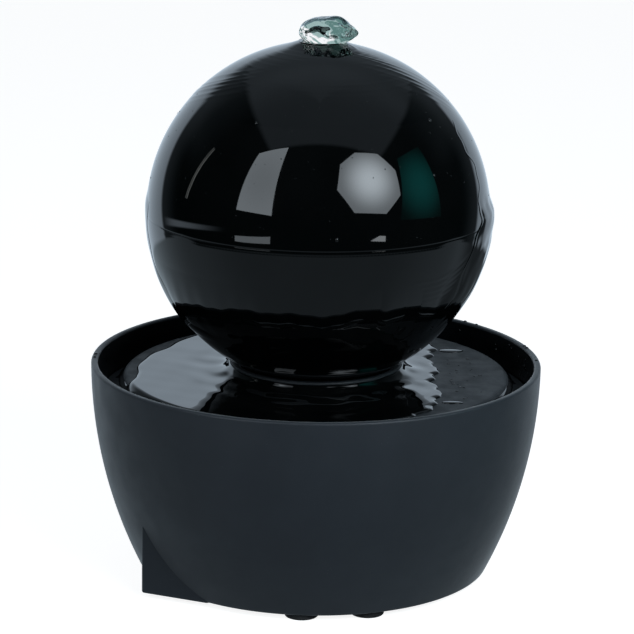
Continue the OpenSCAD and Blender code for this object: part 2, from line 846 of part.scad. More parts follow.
module intake_cover() {
    inner = intake_half - intake_wall;
    rows = floor(slot_half / (bar_gap + bar_w));
    color([0.09, 0.09, 0.1])
    difference() {
        translate([(intake_x0 + intake_x1) / 2, 0, pump_z - intake_half])
        linear_extrude(2 * intake_half) polygon(rounded(intake_len, 2 * intake_half, 1.5));
        span(
            [intake_x0 - over, -inner, pump_z - inner],
            [intake_x1 - intake_wall, inner, pump_z + inner]
        );
        // intake slots, on the front beside the dial and on both sides
        for (i = [-rows : rows], side = [-1, 1]) {
            z = pump_z + i * (bar_gap + bar_w);
            y = side * (dial_r + slot_half) / 2 + side;
            span(
                [intake_x1 - intake_wall - over, y - (slot_half - dial_r) / 2 - 2, z - bar_gap / 2],
                [intake_x1 + over, y + (slot_half - dial_r) / 2 + 2, z + bar_gap / 2]
            );
            span(
                [intake_x0 + 6, side > 0 ? inner - over : -intake_half - over, z - bar_gap / 2],
                [intake_x1 - 4, side > 0 ? intake_half + over : -inner + over, z + bar_gap / 2]
            );
        }
        axis_rod(intake_x1 - intake_wall - over, intake_x1 + over, axle_r + run_clear);
    }
}

module filter_sponge() {
    half = intake_half - intake_wall - lay_clear;
    color([0.2, 0.22, 0.24])
    span([sponge_x0, -half, pump_z - half], [sponge_x1, half, pump_z + half]);
}

module flow_dial() {
    color([0.3, 0.3, 0.32])
    difference() {
        union() {
            axis_rod(knob_x0, knob_x0 + knob_t, dial_r);
            axis_rod(shutter_x1 - shutter_t, knob_x0 + 1, axle_r);
            intersection() {
                axis_rod(shutter_x1 - shutter_t, shutter_x1, shutter_r);
                translate([0, 0, pump_z]) span(
                    [shutter_x1 - shutter_t - over, -axle_r - 2, -shutter_r],
                    [shutter_x1 + over, axle_r + 2, shutter_r]
                );
            }
        }
        // finger grips in the knob's rim
        for (i = [0 : 11]) {
            translate([knob_x0 - over, 0, pump_z]) rotate([i * 30 + 15, 0, 0]) translate([0, dial_r + 0.8, 0])
            rotate([0, 90, 0]) cylinder(h = knob_t + 2 * over, r = 1.6, $fn = 24);
        }
    }
}

module suction_cups() {
    color([0.1, 0.1, 0.1])
    for (x = cup_x, y = cup_y) {
        translate([x, y, 0]) rotate_extrude($fn = 48) polygon([
            [0, floor_z + 1.2],
            [cup_r - 1.6, floor_z],
            [cup_r, floor_z],
            [cup_r - 0.2, floor_z + 0.8],
            [2.8, floor_z + 3.4],
            [2.8, motor_z0],
            [cup_stem_r, motor_z0],
            [cup_stem_r, motor_z0 + cup_stem_h],
            [0, motor_z0 + cup_stem_h]
        ]);
    }
}

// Catmull-Rom curve through the points, steps rings a span.
function spline(p, steps) = concat(
    [
        for (i = [0 : len(p) - 2], s = [0 : steps - 1])
            let (
                a = p[max(i - 1, 0)], b = p[i], c = p[i + 1], d = p[min(i + 2, len(p) - 1)], t = s / steps
            )
            0.5 * (2 * b + (c - a) * t + (2 * a - 5 * b + 4 * c - d) * t * t
                + (3 * b - a - 3 * c + d) * t * t * t)
    ],
    [p[len(p) - 1]]
);

function unit(v) = v / norm(v);

// Directions along a line of points, with those of its two ends given.
function headings(p, start, finish) = [
    for (i = [0 : len(p) - 1])
        i == 0 ? start : i == len(p) - 1 ? finish : unit(p[i + 1] - p[i - 1])
];

// One upright for each heading, each turned as little as possible from the one before.
function uprights(along, found) = len(found) == len(along) ? found : let (
    t = along[len(found)],
    last = found[len(found) - 1]
) uprights(along, concat(found, [unit(last - (last * t) * t)]));

// A tube of round section swept along a line of points.
module swept(p, r, sides, start, finish) {
    along = headings(p, start, finish);
    ups = uprights(along, [[0, 0, 1]]);
    rings = [
        for (i = [0 : len(p) - 1]) let (u = ups[i], w = cross(along[i], u))
            for (k = [0 : sides - 1]) p[i] + r * (u * cos(k * 360 / sides) + w * sin(k * 360 / sides))
    ];
    last = (len(p) - 1) * sides;
    faces = concat(
        [
            for (i = [0 : len(p) - 2], k = [0 : sides - 1]) let (n = (k + 1) % sides)
                for (f = [
                    [i * sides + k, i * sides + n, (i + 1) * sides + k],
                    [i * sides + n, (i + 1) * sides + n, (i + 1) * sides + k]
                ]) f
        ],
        [[for (k = [0 : sides - 1]) sides - 1 - k]],
        [[for (k = [0 : sides - 1]) last + k]]
    );
    polyhedron(rings, faces, convexity = 4);
}

module pump_lead() {
    color([0.05, 0.05, 0.05])
    swept(spline(lead_points, lead_steps), lead_r, lead_sides, lead_start, lead_finish);
}

bowl();
rubber_feet();
inlet_socket();
inlet_pin();
inlet_seal();
inlet_nut();
tray();
lower_shell();
upper_shell();
equator_ring();
nozzle();
nozzle_washer();
nozzle_nut();
riser_tube();
riser_guide();
riser_seal();
pump_housing();
resin_potting();
pump_gland();
stator_core();
coil_bobbin();
coil_winding();
rotor_magnet();
impeller();
impeller_shaft();
rear_bush();
front_bush();
volute_seal();
volute_cover();
intake_cover();
filter_sponge();
flow_dial();
suction_cups();
pump_lead();
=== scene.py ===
import math
import bpy
import numpy as np
from mathutils import Matrix, Vector


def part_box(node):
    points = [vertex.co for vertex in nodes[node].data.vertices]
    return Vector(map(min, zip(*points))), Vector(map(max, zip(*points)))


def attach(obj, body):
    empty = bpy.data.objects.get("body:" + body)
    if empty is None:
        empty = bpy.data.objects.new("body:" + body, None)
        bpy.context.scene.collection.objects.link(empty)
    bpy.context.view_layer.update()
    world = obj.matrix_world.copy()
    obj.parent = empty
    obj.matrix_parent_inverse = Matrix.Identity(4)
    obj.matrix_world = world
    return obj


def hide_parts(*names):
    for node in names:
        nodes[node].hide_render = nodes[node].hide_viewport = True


# Ball fountain: looks for the bowl, tray, ball, running water and the pump inside. Metres, -Y is the front.
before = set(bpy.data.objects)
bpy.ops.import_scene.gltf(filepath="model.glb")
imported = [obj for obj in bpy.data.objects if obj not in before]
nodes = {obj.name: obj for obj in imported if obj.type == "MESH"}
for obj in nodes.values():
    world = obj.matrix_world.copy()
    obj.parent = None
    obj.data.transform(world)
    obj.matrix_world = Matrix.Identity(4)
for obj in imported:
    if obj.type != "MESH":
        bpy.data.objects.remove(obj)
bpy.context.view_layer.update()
mm = 0.001
deg = math.pi / 180


def corner(name, high):
    # lowest or highest corner of a CAD node, as plain numbers
    return np.array(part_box(name)[1 if high else 0], float)


ballR = float(corner("upper_shell", True)[0])
ballZ = float(corner("upper_shell", False)[2])
crownZ = float(corner("upper_shell", True)[2])
rimZ = float(corner("bowl", True)[2])
rimR = float(corner("bowl", True)[0])
baseZ = float(corner("bowl", False)[2])
deckZ = float(corner("tray", True)[2]) - 0.009   # the tray's deck and the ball's foot, below the collar's top

view = {"eye": (0.0, -1.9945, 0.6944), "aim": (0.0002, 0.0, 0.1722), "lens": 175.74, "roll": 0.87,
        "sensor": 36, "farthest": 60}


def addObject(name, data):
    # a new object in the scene that holds this data
    item = bpy.data.objects.new(name, data)
    bpy.context.scene.collection.objects.link(item)
    return item


def placeCamera():
    data = bpy.data.cameras.new("camera")
    data.lens = view["lens"]
    data.sensor_width = view["sensor"]
    data.clip_end = view["farthest"]
    camera = addObject("camera", data)
    look = Vector(view["aim"]) - Vector(view["eye"])
    turn = look.to_track_quat("-Z", "Y").to_matrix().to_4x4()
    roll = Matrix.Rotation(view["roll"] * deg, 4, "Z")
    camera.matrix_world = Matrix.Translation(view["eye"]) @ turn @ roll
    bpy.context.scene.camera = camera


placeCamera()
bpy.context.scene.view_settings.view_transform = "Standard"
print("camera placed")


def calc(tree, kind, a, b=0.0, c=0.0):
    # one Math node; each value is a number or another node's output
    made = tree.nodes.new("ShaderNodeMath")
    made.operation = kind
    for slot, value in zip(made.inputs, (a, b, c)):
        if isinstance(value, (int, float)):
            slot.default_value = value
        else:
            tree.links.new(value, slot)
    return made.outputs[0]


def product(tree, value, *others):
    # several values multiplied together
    for other in others:
        value = calc(tree, "MULTIPLY", value, other)
    return value


def fade(tree, value, low, high, start=0.0, end=1.0):
    # start below low, end above high, and a smooth step between
    made = tree.nodes.new("ShaderNodeMapRange")
    made.interpolation_type = "SMOOTHSTEP"
    tree.links.new(value, made.inputs["Value"])
    for name, number in (("From Min", low), ("From Max", high), ("To Min", start), ("To Max", end)):
        made.inputs[name].default_value = number
    return made.outputs["Result"]


def blendColours(tree, factor, a, b):
    made = tree.nodes.new("ShaderNodeMix")
    made.data_type = "RGBA"
    tree.links.new(factor, made.inputs[0])
    for slot, value in ((made.inputs[6], a), (made.inputs[7], b)):
        if isinstance(value, tuple):
            slot.default_value = (*value, 1)
        else:
            tree.links.new(value, slot)
    return made.outputs[2]


def newMaterial(name):
    # a material with its node tree and its Principled node
    stuff = bpy.data.materials.new(name)
    stuff.use_nodes = True
    return stuff, stuff.node_tree, stuff.node_tree.nodes["Principled BSDF"]


def objectPlace(tree):
    return tree.nodes.new("ShaderNodeTexCoord").outputs["Object"]


def objectNoise(tree, scale, detail=3.0, stretch=(1, 1, 1)):
    # noise on Object coordinates, stretched along the axes
    spread = tree.nodes.new("ShaderNodeMapping")
    spread.inputs["Scale"].default_value = stretch
    noise = tree.nodes.new("ShaderNodeTexNoise")
    noise.inputs["Scale"].default_value = scale
    noise.inputs["Detail"].default_value = detail
    tree.links.new(objectPlace(tree), spread.inputs["Vector"])
    tree.links.new(spread.outputs["Vector"], noise.inputs["Vector"])
    return noise.outputs["Fac"]


# Directions are unit vectors: x to the right, y to the back, z up. A pair is a soft edge's start and end.
studio = {
    "darkRoom": (0.0025, 0.0075, 0.0085),
    "plainWhite": (1.0, 1.0, 1.0),
    "wallTint": (0.72, 0.86, 1.0),
    "wallLight": 1.06,
    "wallReach": (0.65, 0.715),          # how far round the wall comes on the left and on the right
    "wallMiddle": (-0.2, 0.2),
    "wallLean": 0.37,                    # the wall narrows with height
    "wallEdge": (-0.02, 0.05),
    "wallTop": (0.24, 0.47),
    "glowEdge": (-0.35, -0.02),
    "glowLight": 0.07,                   # faint light beside the wall
    "ceilingLight": 0.25,
    "ceilingLeft": (-0.72, -0.62),
    "ceilingRight": (0.86, 0.96),
    "ceilingFront": (-0.66, -0.58),
    "ceilingLow": (0.30, 0.42),
    "ceilingBack": (0.35, 1.0, 0.35),    # dims from the first to the second, down to the third
    "upperLight": 0.055,                 # faint light high at the back
    "upperBack": (-0.1, 0.6),
    "upperLow": (0.2, 0.45),
    "bandHeight": -0.1256,               # thin bright edge low on the left, lower towards the back
    "bandTilt": 0.099,
    "bandHalf": (0.030, 0.012),
    "bandLeft": (-0.8, -0.98),
    "bandFront": (-0.5, 0.1),
    "bandLight": 0.9,
    "groundTint": (0.72, 0.88, 1.0),
    "groundLight": (0.25, 0.34, 0.16),   # in front, at the sides, behind
    "groundSides": (-0.8, -0.05),
    "groundBehind": (0.1, 0.9),
    "shadeRight": (0.10, 0.35),          # the ground is in shade behind on the right
    "shadeBack": (0.3, 0.6),
    "shadeDepth": 0.78,
    "edgeHeight": -0.265,                # where the ground ends, lower behind and higher at the sides
    "edgeBack": (0.1, 0.8, -0.08),
    "edgeSides": (-0.1, 0.25, 0.05),
    "edgeSoft": 0.012,
}


def makeWorld():
    # Straight views and views through water see plain white. Reflections see a dark room in front,
    # a white wall behind, a dim ceiling above and a grey ground, each a smooth function of direction.
    s = studio
    world = bpy.data.worlds.new("studio")
    bpy.context.scene.world = world
    world.use_nodes = True
    tree = world.node_tree
    tree.nodes.clear()
    place = tree.nodes.new("ShaderNodeTexCoord")
    split = tree.nodes.new("ShaderNodeSeparateXYZ")
    tree.links.new(place.outputs["Generated"], split.inputs[0])
    x, y, z = split.outputs
    flatSquare = calc(tree, "MULTIPLY_ADD", y, y, 1e-5)
    flat = calc(tree, "SQRT", calc(tree, "MULTIPLY_ADD", x, x, flatSquare))
    back = calc(tree, "DIVIDE", y, flat)
    # wall behind: wider low down than high up and narrower at the right, fading out above
    reachRound = fade(tree, x, *s["wallMiddle"], *s["wallReach"])
    side = calc(tree, "SUBTRACT", back, calc(tree, "MULTIPLY_ADD", z, s["wallLean"], reachRound))
    wall = product(tree, fade(tree, side, *s["wallEdge"]), fade(tree, z, *s["wallTop"], 1.0, 0.0))
    glow = fade(tree, side, *s["glowEdge"], 0.0, s["glowLight"])
    wall = calc(tree, "MULTIPLY_ADD", wall, s["wallLight"], glow)
    # ceiling panel, as a rectangle on a plane overhead
    up = calc(tree, "MAXIMUM", z, 0.02)
    across = calc(tree, "DIVIDE", x, up)
    along = calc(tree, "DIVIDE", y, up)
    dimFrom, dimTo, dimmed = s["ceilingBack"]
    panel = product(tree, fade(tree, across, *s["ceilingLeft"]),
                    fade(tree, across, *s["ceilingRight"], 1.0, 0.0),
                    fade(tree, along, *s["ceilingFront"]), fade(tree, z, *s["ceilingLow"]),
                    fade(tree, along, dimFrom, dimTo, 1.0, dimmed))
    over = product(tree, fade(tree, y, *s["upperBack"], 0.0, s["upperLight"]), fade(tree, z, *s["upperLow"]))
    over = calc(tree, "MULTIPLY_ADD", panel, s["ceilingLight"], over)
    # bright edge, a thin strip in height that ends softly on both sides
    tilt = calc(tree, "MULTIPLY_ADD", back, s["bandTilt"], calc(tree, "SUBTRACT", z, s["bandHeight"]))
    outer, inner = s["bandHalf"]
    band = product(tree, fade(tree, tilt, -outer, -inner), fade(tree, tilt, inner, outer, 1.0, 0.0),
                   fade(tree, x, *s["bandLeft"]), fade(tree, back, *s["bandFront"], 0.0, s["bandLight"]))
    light = calc(tree, "ADD", calc(tree, "ADD", wall, over), band)
    # ground: its brightness, its shade and the height of its far edge all change with the way round
    front, beside, behind = s["groundLight"]
    ground = fade(tree, back, *s["groundSides"], front, beside)
    ground = calc(tree, "ADD", ground, fade(tree, back, *s["groundBehind"], 0.0, behind))
    dark = fade(tree, back, *s["shadeBack"], 0.0, s["shadeDepth"])
    shade = product(tree, fade(tree, x, *s["shadeRight"]), dark)
    ground = product(tree, ground, calc(tree, "SUBTRACT", 1.0, shade))
    start, end, change = s["edgeBack"]
    edge = calc(tree, "MULTIPLY_ADD", fade(tree, back, start, end), change, s["edgeHeight"])
    start, end, change = s["edgeSides"]
    edge = calc(tree, "MULTIPLY_ADD", fade(tree, back, start, end), change, edge)
    below = fade(tree, calc(tree, "SUBTRACT", z, edge), -s["edgeSoft"], s["edgeSoft"], 1.0, 0.0)
    white = blendColours(tree, light, s["darkRoom"], s["wallTint"])
    earth = blendColours(tree, ground, (0.0, 0.0, 0.0), s["groundTint"])
    room = blendColours(tree, below, white, earth)
    path = tree.nodes.new("ShaderNodeLightPath")
    direct = calc(tree, "MAXIMUM", path.outputs["Is Camera Ray"], path.outputs["Is Transmission Ray"])
    shown = blendColours(tree, direct, room, s["plainWhite"])
    lit = tree.nodes.new("ShaderNodeBackground")
    out = tree.nodes.new("ShaderNodeOutputWorld")
    tree.links.new(shown, lit.inputs["Color"])
    tree.links.new(lit.outputs[0], out.inputs["Surface"])


# Lamps seen only in the gloss. Corners are (azimuth to the right of the front, elevation) from the ball's
# middle, and glow is the strength at the lamp's middle and near its corners.
panels = {
    "softboxLeft": {"corners": [(-53, 43), (-30, 52), (-30, 8.6), (-54.5, 8.5)],
                    "glow": (3.0, 3.5), "tint": (0.82, 0.92, 1.0)},
    "softboxFoot": {"corners": [(-54, -6.2), (-30, -4.2), (-30.2, -8.6), (-54, -9.4)],
                    "glow": (2.1, 2.1), "tint": (0.82, 0.92, 1.0)},
    "octabox": {"corners": [(33, 48.7), (52.2, 44), (59.8, 31.6), (57, 17.7),
                            (44.5, 9), (23.4, 11.8), (12.9, 26.7), (17.5, 42.6)],
                "glow": (10.0, 3.1), "tint": (0.82, 0.92, 1.0)},
    "octaboxFoot": {"corners": [(33.2, -6.1), (39.2, -3.4), (43.3, -3.9), (43.3, -7.2)],
                    "glow": (3.9, 3.9), "tint": (0.88, 0.95, 1.0)},
    "tealScreen": {"corners": [(66, 37), (90, 35), (86, 0), (54, 4)],
                   "glow": (0.62, 0.05), "tint": (0.06, 1.0, 0.95)},
    "thinLampLeft": {"corners": [(-91.2, 31), (-91.7, 31), (-96.4, 4), (-95.9, 4)],
                     "glow": (2.6, 2.0), "tint": (0.9, 0.96, 0.95)},
    "thinLampInner": {"corners": [(-92.6, 31), (-93.0, 31), (-97.7, 4), (-97.3, 4)],
                      "glow": (2.0, 1.6), "tint": (0.9, 0.96, 0.95)},
}
panelStage = {"reach": 1.6, "glowFrom": 0.05, "glowTo": 0.9}


def makePanels():
    # each lamp is a fan of triangles about its middle
    for name, spec in panels.items():
        az, el = np.radians(np.array(spec["corners"], float)).T
        way = np.stack([np.sin(az) * np.cos(el), -np.cos(az) * np.cos(el), np.sin(el)], 1)
        rim = panelStage["reach"] * way
        rim += (0, 0, ballZ)
        mid = rim.mean(0)
        mesh = bpy.data.meshes.new(name)
        ring = [(i, (i + 1) % len(rim), len(rim)) for i in range(len(rim))]
        mesh.from_pydata(np.vstack([rim, mid]).tolist(), [], ring)
        item = addObject(name, mesh)
        item.visible_camera = False
        item.visible_shadow = False
        stuff = bpy.data.materials.new(name)
        stuff.use_nodes = True
        tree = stuff.node_tree
        tree.nodes.clear()
        apart = tree.nodes.new("ShaderNodeVectorMath")
        apart.operation = "DISTANCE"
        apart.inputs[1].default_value = mid
        tree.links.new(objectPlace(tree), apart.inputs[0])
        width = float(np.linalg.norm(rim - mid, axis=1).max())
        start, end = panelStage["glowFrom"] * width, panelStage["glowTo"] * width
        glow = fade(tree, apart.outputs["Value"], start, end, *spec["glow"])
        shine = tree.nodes.new("ShaderNodeEmission")
        shine.inputs["Color"].default_value = (*spec["tint"], 1)
        tree.links.new(glow, shine.inputs["Strength"])
        out = tree.nodes.new("ShaderNodeOutputMaterial")
        tree.links.new(shine.outputs[0], out.inputs["Surface"])
        mesh.materials.append(stuff)


floorLook = {"half": 9.0, "tone": (0.5, 0.5, 0.5), "rough": 0.9, "ownLight": 0.88}


def makeFloor():
    # pale floor that the camera sees; the gloss sees the studio's own ground instead
    mesh = bpy.data.meshes.new("floor")
    half = floorLook["half"]
    corners = [(-half, -half, 0), (half, -half, 0), (half, half, 0), (-half, half, 0)]
    mesh.from_pydata(corners, [], [(0, 1, 2, 3)])
    item = addObject("floor", mesh)
    for name in ("visible_glossy", "visible_diffuse", "visible_transmission"):
        setattr(item, name, False)
    stuff, _, paint = newMaterial("paleFloor")
    paint.inputs["Base Color"].default_value = (*floorLook["tone"], 1)
    paint.inputs["Roughness"].default_value = floorLook["rough"]
    paint.inputs["Specular IOR Level"].default_value = 0.0
    paint.inputs["Emission Color"].default_value = (1, 1, 1, 1)
    paint.inputs["Emission Strength"].default_value = floorLook["ownLight"]
    mesh.materials.append(stuff)


makeWorld()
makePanels()
makeFloor()
print("studio built")


def look(tone, other, patch, rough, grain, **more):
    # two colours that a broad mottle mixes, the mottle's scale, lowest and highest roughness, and the fine
    # bump's scale, strength and depth; more may be bands (axis, pitch, depth), specks (scale, size, colour),
    # stretch, metal, shine and sheen
    return dict(tone=tone, other=other, patch=patch, rough=rough, grain=grain, **more)


finishes = {
    "bowl_charcoal": look((0.0155, 0.0198, 0.0262), (0.0180, 0.0228, 0.0298), 22, (0.48, 0.58),
        (1900, 0.30, 0.00016), specks=(520, 0.06, (0.10, 0.11, 0.12)), sheen=0.42),
    "bowl_wet": look((0.0015, 0.0025, 0.0035), (0.0026, 0.0038, 0.0050), 26, (0.27, 0.35),
        (700, 0.2, 0.0002), shine=0.3),
    "tray_black": look((0.010, 0.013, 0.016), (0.016, 0.020, 0.024), 40, (0.5, 0.62),
        (1500, 0.3, 0.00016), shine=0.36),
    "ball_gloss": look((0.0015, 0.0018, 0.0019), (0.0022, 0.0025, 0.0026), 20, (0.015, 0.035),
        (60, 0.02, 0.0002)),
    "wet_gloss": look((0.0012, 0.0016, 0.0017), (0.002, 0.0024, 0.0025), 30, (0.005, 0.02),
        (70, 0.03, 0.0002)),
    "black_rubber": look((0.010, 0.010, 0.011), (0.017, 0.017, 0.018), 90, (0.7, 0.9), (1500, 0.3, 0.0002)),
    "black_plastic": look((0.012, 0.012, 0.013), (0.018, 0.018, 0.019), 60, (0.35, 0.5),
        (1400, 0.2, 0.0001)),
    "pump_abs": look((0.013, 0.014, 0.017), (0.021, 0.022, 0.025), 70, (0.5, 0.65), (2200, 0.5, 0.0002)),
    "riser_pvc": look((0.55, 0.58, 0.60), (0.48, 0.50, 0.50), 35, (0.25, 0.4),
        (600, 0.1, 0.0001), stretch=(1, 1, 0.05)),
    "potting_resin": look((0.02, 0.02, 0.022), (0.035, 0.035, 0.038), 80, (0.1, 0.25), (160, 0.25, 0.0005)),
    "stator_steel": look((0.42, 0.42, 0.43), (0.30, 0.29, 0.28), 120, (0.3, 0.5),
        (900, 0.2, 0.0001), bands=("X", 0.0005, 0.0001), metal=1.0),
    "bobbin_nylon": look((0.70, 0.66, 0.52), (0.62, 0.57, 0.44), 90, (0.35, 0.5), (900, 0.15, 0.0001)),
    "winding_copper": look((0.55, 0.20, 0.07), (0.40, 0.12, 0.04), 150, (0.2, 0.35),
        (700, 0.1, 0.0001), bands=("X", 0.00045, 0.0002), metal=1.0),
    "magnet_ferrite": look((0.035, 0.034, 0.035), (0.055, 0.053, 0.055), 200, (0.45, 0.65),
        (1500, 0.3, 0.0001)),
    "impeller_plastic": look((0.60, 0.60, 0.57), (0.52, 0.52, 0.49), 80, (0.3, 0.42), (1000, 0.12, 0.0001)),
    "shaft_ceramic": look((0.82, 0.80, 0.74), (0.76, 0.74, 0.68), 200, (0.08, 0.18), (1500, 0.05, 0.00005)),
    "contact_brass": look((0.68, 0.46, 0.13), (0.55, 0.36, 0.10), 200, (0.15, 0.3),
        (1200, 0.1, 0.00005), metal=1.0),
    "nut_steel": look((0.55, 0.55, 0.53), (0.45, 0.45, 0.44), 150, (0.18, 0.32),
        (900, 0.12, 0.00008), metal=1.0),
    "sponge_foam": look((0.010, 0.013, 0.016), (0.035, 0.040, 0.046), 900, (0.9, 1.0), (1100, 1.0, 0.0012)),
    "dial_grey": look((0.075, 0.075, 0.085), (0.095, 0.095, 0.105), 70, (0.35, 0.5), (1300, 0.2, 0.0001)),
    "lead_pvc": look((0.012, 0.012, 0.012), (0.020, 0.020, 0.020), 60, (0.4, 0.55), (900, 0.15, 0.0001)),
}
finishRules = {"mottle": (0.38, 0.62), "roughMottle": (0.3, 0.7), "roughScale": 2.7, "sheenRough": 0.35,
               "speckGroups": 6, "speckFew": (0.60, 0.68), "bandTurns": 0.314}
made = {}


def finish(name):
    # a mottled two-tone plastic, rubber or metal with a fine grain, all on Object coordinates
    if name in made:
        return made[name]
    spec = finishes[name]
    rules = finishRules
    stuff, tree, paint = newMaterial(name)
    stretch = spec.get("stretch", (1, 1, 1))
    mottle = fade(tree, objectNoise(tree, spec["patch"], 4, stretch), *rules["mottle"])
    colour = blendColours(tree, mottle, spec["tone"], spec["other"])
    if "specks" in spec:
        scale, size, tone = spec["specks"]
        cells = tree.nodes.new("ShaderNodeTexVoronoi")
        cells.inputs["Scale"].default_value = scale
        tree.links.new(objectPlace(tree), cells.inputs["Vector"])
        dots = fade(tree, cells.outputs["Distance"], size, size * 2, 1.0, 0.0)
        few = fade(tree, objectNoise(tree, scale / rules["speckGroups"], 2), *rules["speckFew"])
        colour = blendColours(tree, calc(tree, "MULTIPLY", dots, few), colour, tone)
    tree.links.new(colour, paint.inputs["Base Color"])
    uneven = objectNoise(tree, spec["patch"] * rules["roughScale"], 3)
    rough = fade(tree, uneven, *rules["roughMottle"], *spec["rough"])
    tree.links.new(rough, paint.inputs["Roughness"])
    scale, strength, depth = spec["grain"]
    height = objectNoise(tree, scale, 3)
    bump = tree.nodes.new("ShaderNodeBump")
    bump.inputs["Strength"].default_value = strength
    bump.inputs["Distance"].default_value = depth
    tree.links.new(height, bump.inputs["Height"])
    if "bands" in spec:
        axis, pitch, deep = spec["bands"]
        lines = tree.nodes.new("ShaderNodeTexWave")
        lines.bands_direction = axis
        lines.inputs["Scale"].default_value = rules["bandTurns"] / pitch
        tree.links.new(objectPlace(tree), lines.inputs["Vector"])
        ribs = tree.nodes.new("ShaderNodeBump")
        ribs.inputs["Distance"].default_value = deep
        tree.links.new(lines.outputs["Fac"], ribs.inputs["Height"])
        tree.links.new(bump.outputs["Normal"], ribs.inputs["Normal"])
        bump = ribs
    tree.links.new(bump.outputs["Normal"], paint.inputs["Normal"])
    paint.inputs["Metallic"].default_value = spec.get("metal", 0.0)
    paint.inputs["Specular IOR Level"].default_value = spec.get("shine", 0.5)
    paint.inputs["Sheen Weight"].default_value = spec.get("sheen", 0.0)
    paint.inputs["Sheen Roughness"].default_value = rules["sheenRough"]
    made[name] = stuff
    return stuff


# deep is a painted dark tint that stands in for the dark room seen through the water; it leans darker towards
# the top and the right
waterLook = {"deep": (0.11, 0.22, 0.21), "clear": (0.96, 0.97, 1.0), "patch": 130, "border": (0.46, 0.54),
             "paintedDarkUp": 34.0, "paintedDarkRight": 12.0, "level": 0.3645, "rough": 0.02, "ripple": 220,
             "rippleStrength": 0.1, "rippleDepth": 0.0004, "bend": 1.333}


def clearWater():
    # clear water with painted dark patches: the deep green-grey stands in for the dark room seen through the
    # water, with a very slight unevenness; the painted patches are darker towards the top and the right
    s = waterLook
    stuff, tree, paint = newMaterial("clearWater")
    mottle = objectNoise(tree, s["patch"], 1)
    split = tree.nodes.new("ShaderNodeSeparateXYZ")
    tree.links.new(objectPlace(tree), split.inputs[0])
    lean = calc(tree, "ADD", mottle, s["paintedDarkUp"] * s["level"])
    lean = calc(tree, "MULTIPLY_ADD", split.outputs["Z"], -s["paintedDarkUp"], lean)
    lean = calc(tree, "MULTIPLY_ADD", split.outputs["X"], -s["paintedDarkRight"], lean)
    # painted dark patches: the deep tint is painted in place of the dark room seen through the water
    colour = blendColours(tree, fade(tree, lean, *s["border"]), s["deep"], s["clear"])
    tree.links.new(colour, paint.inputs["Base Color"])
    tree.links.new(fade(tree, mottle, 0.2, 0.8, 0.0, s["rough"]), paint.inputs["Roughness"])
    bump = tree.nodes.new("ShaderNodeBump")
    bump.inputs["Strength"].default_value = s["rippleStrength"]
    bump.inputs["Distance"].default_value = s["rippleDepth"]
    tree.links.new(objectNoise(tree, s["ripple"], 2), bump.inputs["Height"])
    tree.links.new(bump.outputs["Normal"], paint.inputs["Normal"])
    paint.inputs["IOR"].default_value = s["bend"]
    paint.inputs["Transmission Weight"].default_value = 1.0
    return stuff


water = clearWater()
print("finishes ready")


def addPiece(name, points, faces, body, stuff, stands=(), sharp=35, second=None):
    # a mesh from arrays: faces turned outwards by the sign of the volume, smooth but for edges past the sharp
    # angle; second is another finish and the faces that take it
    points = np.asarray(points, float).reshape(-1, 3)
    sizes = np.concatenate([np.full(len(f), f.shape[1]) for f in faces])
    loops = np.concatenate([f.reshape(-1) for f in faces])
    volume = 0.0
    for f in faces:
        a = points[f[:, 0]]
        for k in range(1, f.shape[1] - 1):
            volume += np.einsum("ij,ij->i", a, np.cross(points[f[:, k]], points[f[:, k + 1]])).sum()
    if volume < 0:
        loops = np.concatenate([f[:, ::-1].reshape(-1) for f in faces])
    mesh = bpy.data.meshes.new(name)
    mesh.vertices.add(len(points))
    mesh.vertices.foreach_set("co", points.astype(np.float32).ravel())
    mesh.loops.add(len(loops))
    mesh.loops.foreach_set("vertex_index", loops.astype(np.int32))
    mesh.polygons.add(len(sizes))
    starts = np.concatenate([[0], np.cumsum(sizes)[:-1]])
    mesh.polygons.foreach_set("loop_start", starts.astype(np.int32))
    mesh.update(calc_edges=True)
    mesh.validate()
    mesh.polygons.foreach_set("use_smooth", np.ones(len(sizes), bool))
    if sharp:
        mesh.set_sharp_from_angle(angle=sharp * deg)
    mesh.materials.append(stuff)
    if second:
        mesh.materials.append(second[0])
        mesh.polygons.foreach_set("material_index", second[1].astype(np.int32))
    piece = addObject(name, mesh)
    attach(piece, body)
    if stands:
        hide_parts(*stands)
    return piece


def gridQuads(rows, cols, loopRows, loopCols=True):
    # quads between neighbouring rows and columns of a grid
    r = np.arange(rows if loopRows else rows - 1)
    c = np.arange(cols if loopCols else cols - 1)
    r, c = np.meshgrid(r, c, indexing="ij")
    r1, c1 = (r + 1) % rows, (c + 1) % cols
    return np.stack([r * cols + c, r * cols + c1, r1 * cols + c1, r1 * cols + c], -1)


def capped(points):
    # a grid of rings that ends in a pole at both ends: each end row is one point
    rows, cols = points.shape[:2]
    body = points[1:-1].reshape(-1, 3)
    ends = np.stack([points[0, 0], points[-1, 0]])
    quads = gridQuads(rows - 2, cols, False).reshape(-1, 4)
    c = np.arange(cols)
    first, last = len(body), len(body) + 1
    end = (rows - 3) * cols
    top = np.stack([np.full(cols, first), (c + 1) % cols, c], 1)
    foot = np.stack([np.full(cols, last), end + c, end + (c + 1) % cols], 1)
    return np.vstack([body, ends]), [quads, top, foot]


def spun(profile, cols):
    # a profile of (radius, height) carried round the vertical axis
    turn = np.linspace(0, 2 * np.pi, cols, endpoint=False)
    r, z = np.asarray(profile, float).T
    return np.stack([r[:, None] * np.cos(turn), r[:, None] * np.sin(turn), z[:, None] + 0 * turn], -1)


def bow(cx, cz, r, a0, a1, n):
    # n points of an arc in the (radius, height) plane, angles in degrees
    a = np.radians(np.linspace(a0, a1, n))
    return np.stack([cx + r * np.cos(a), cz + r * np.sin(a)], 1)


def line(a, b, n):
    # n points from a to b
    return np.linspace(a, b, n)


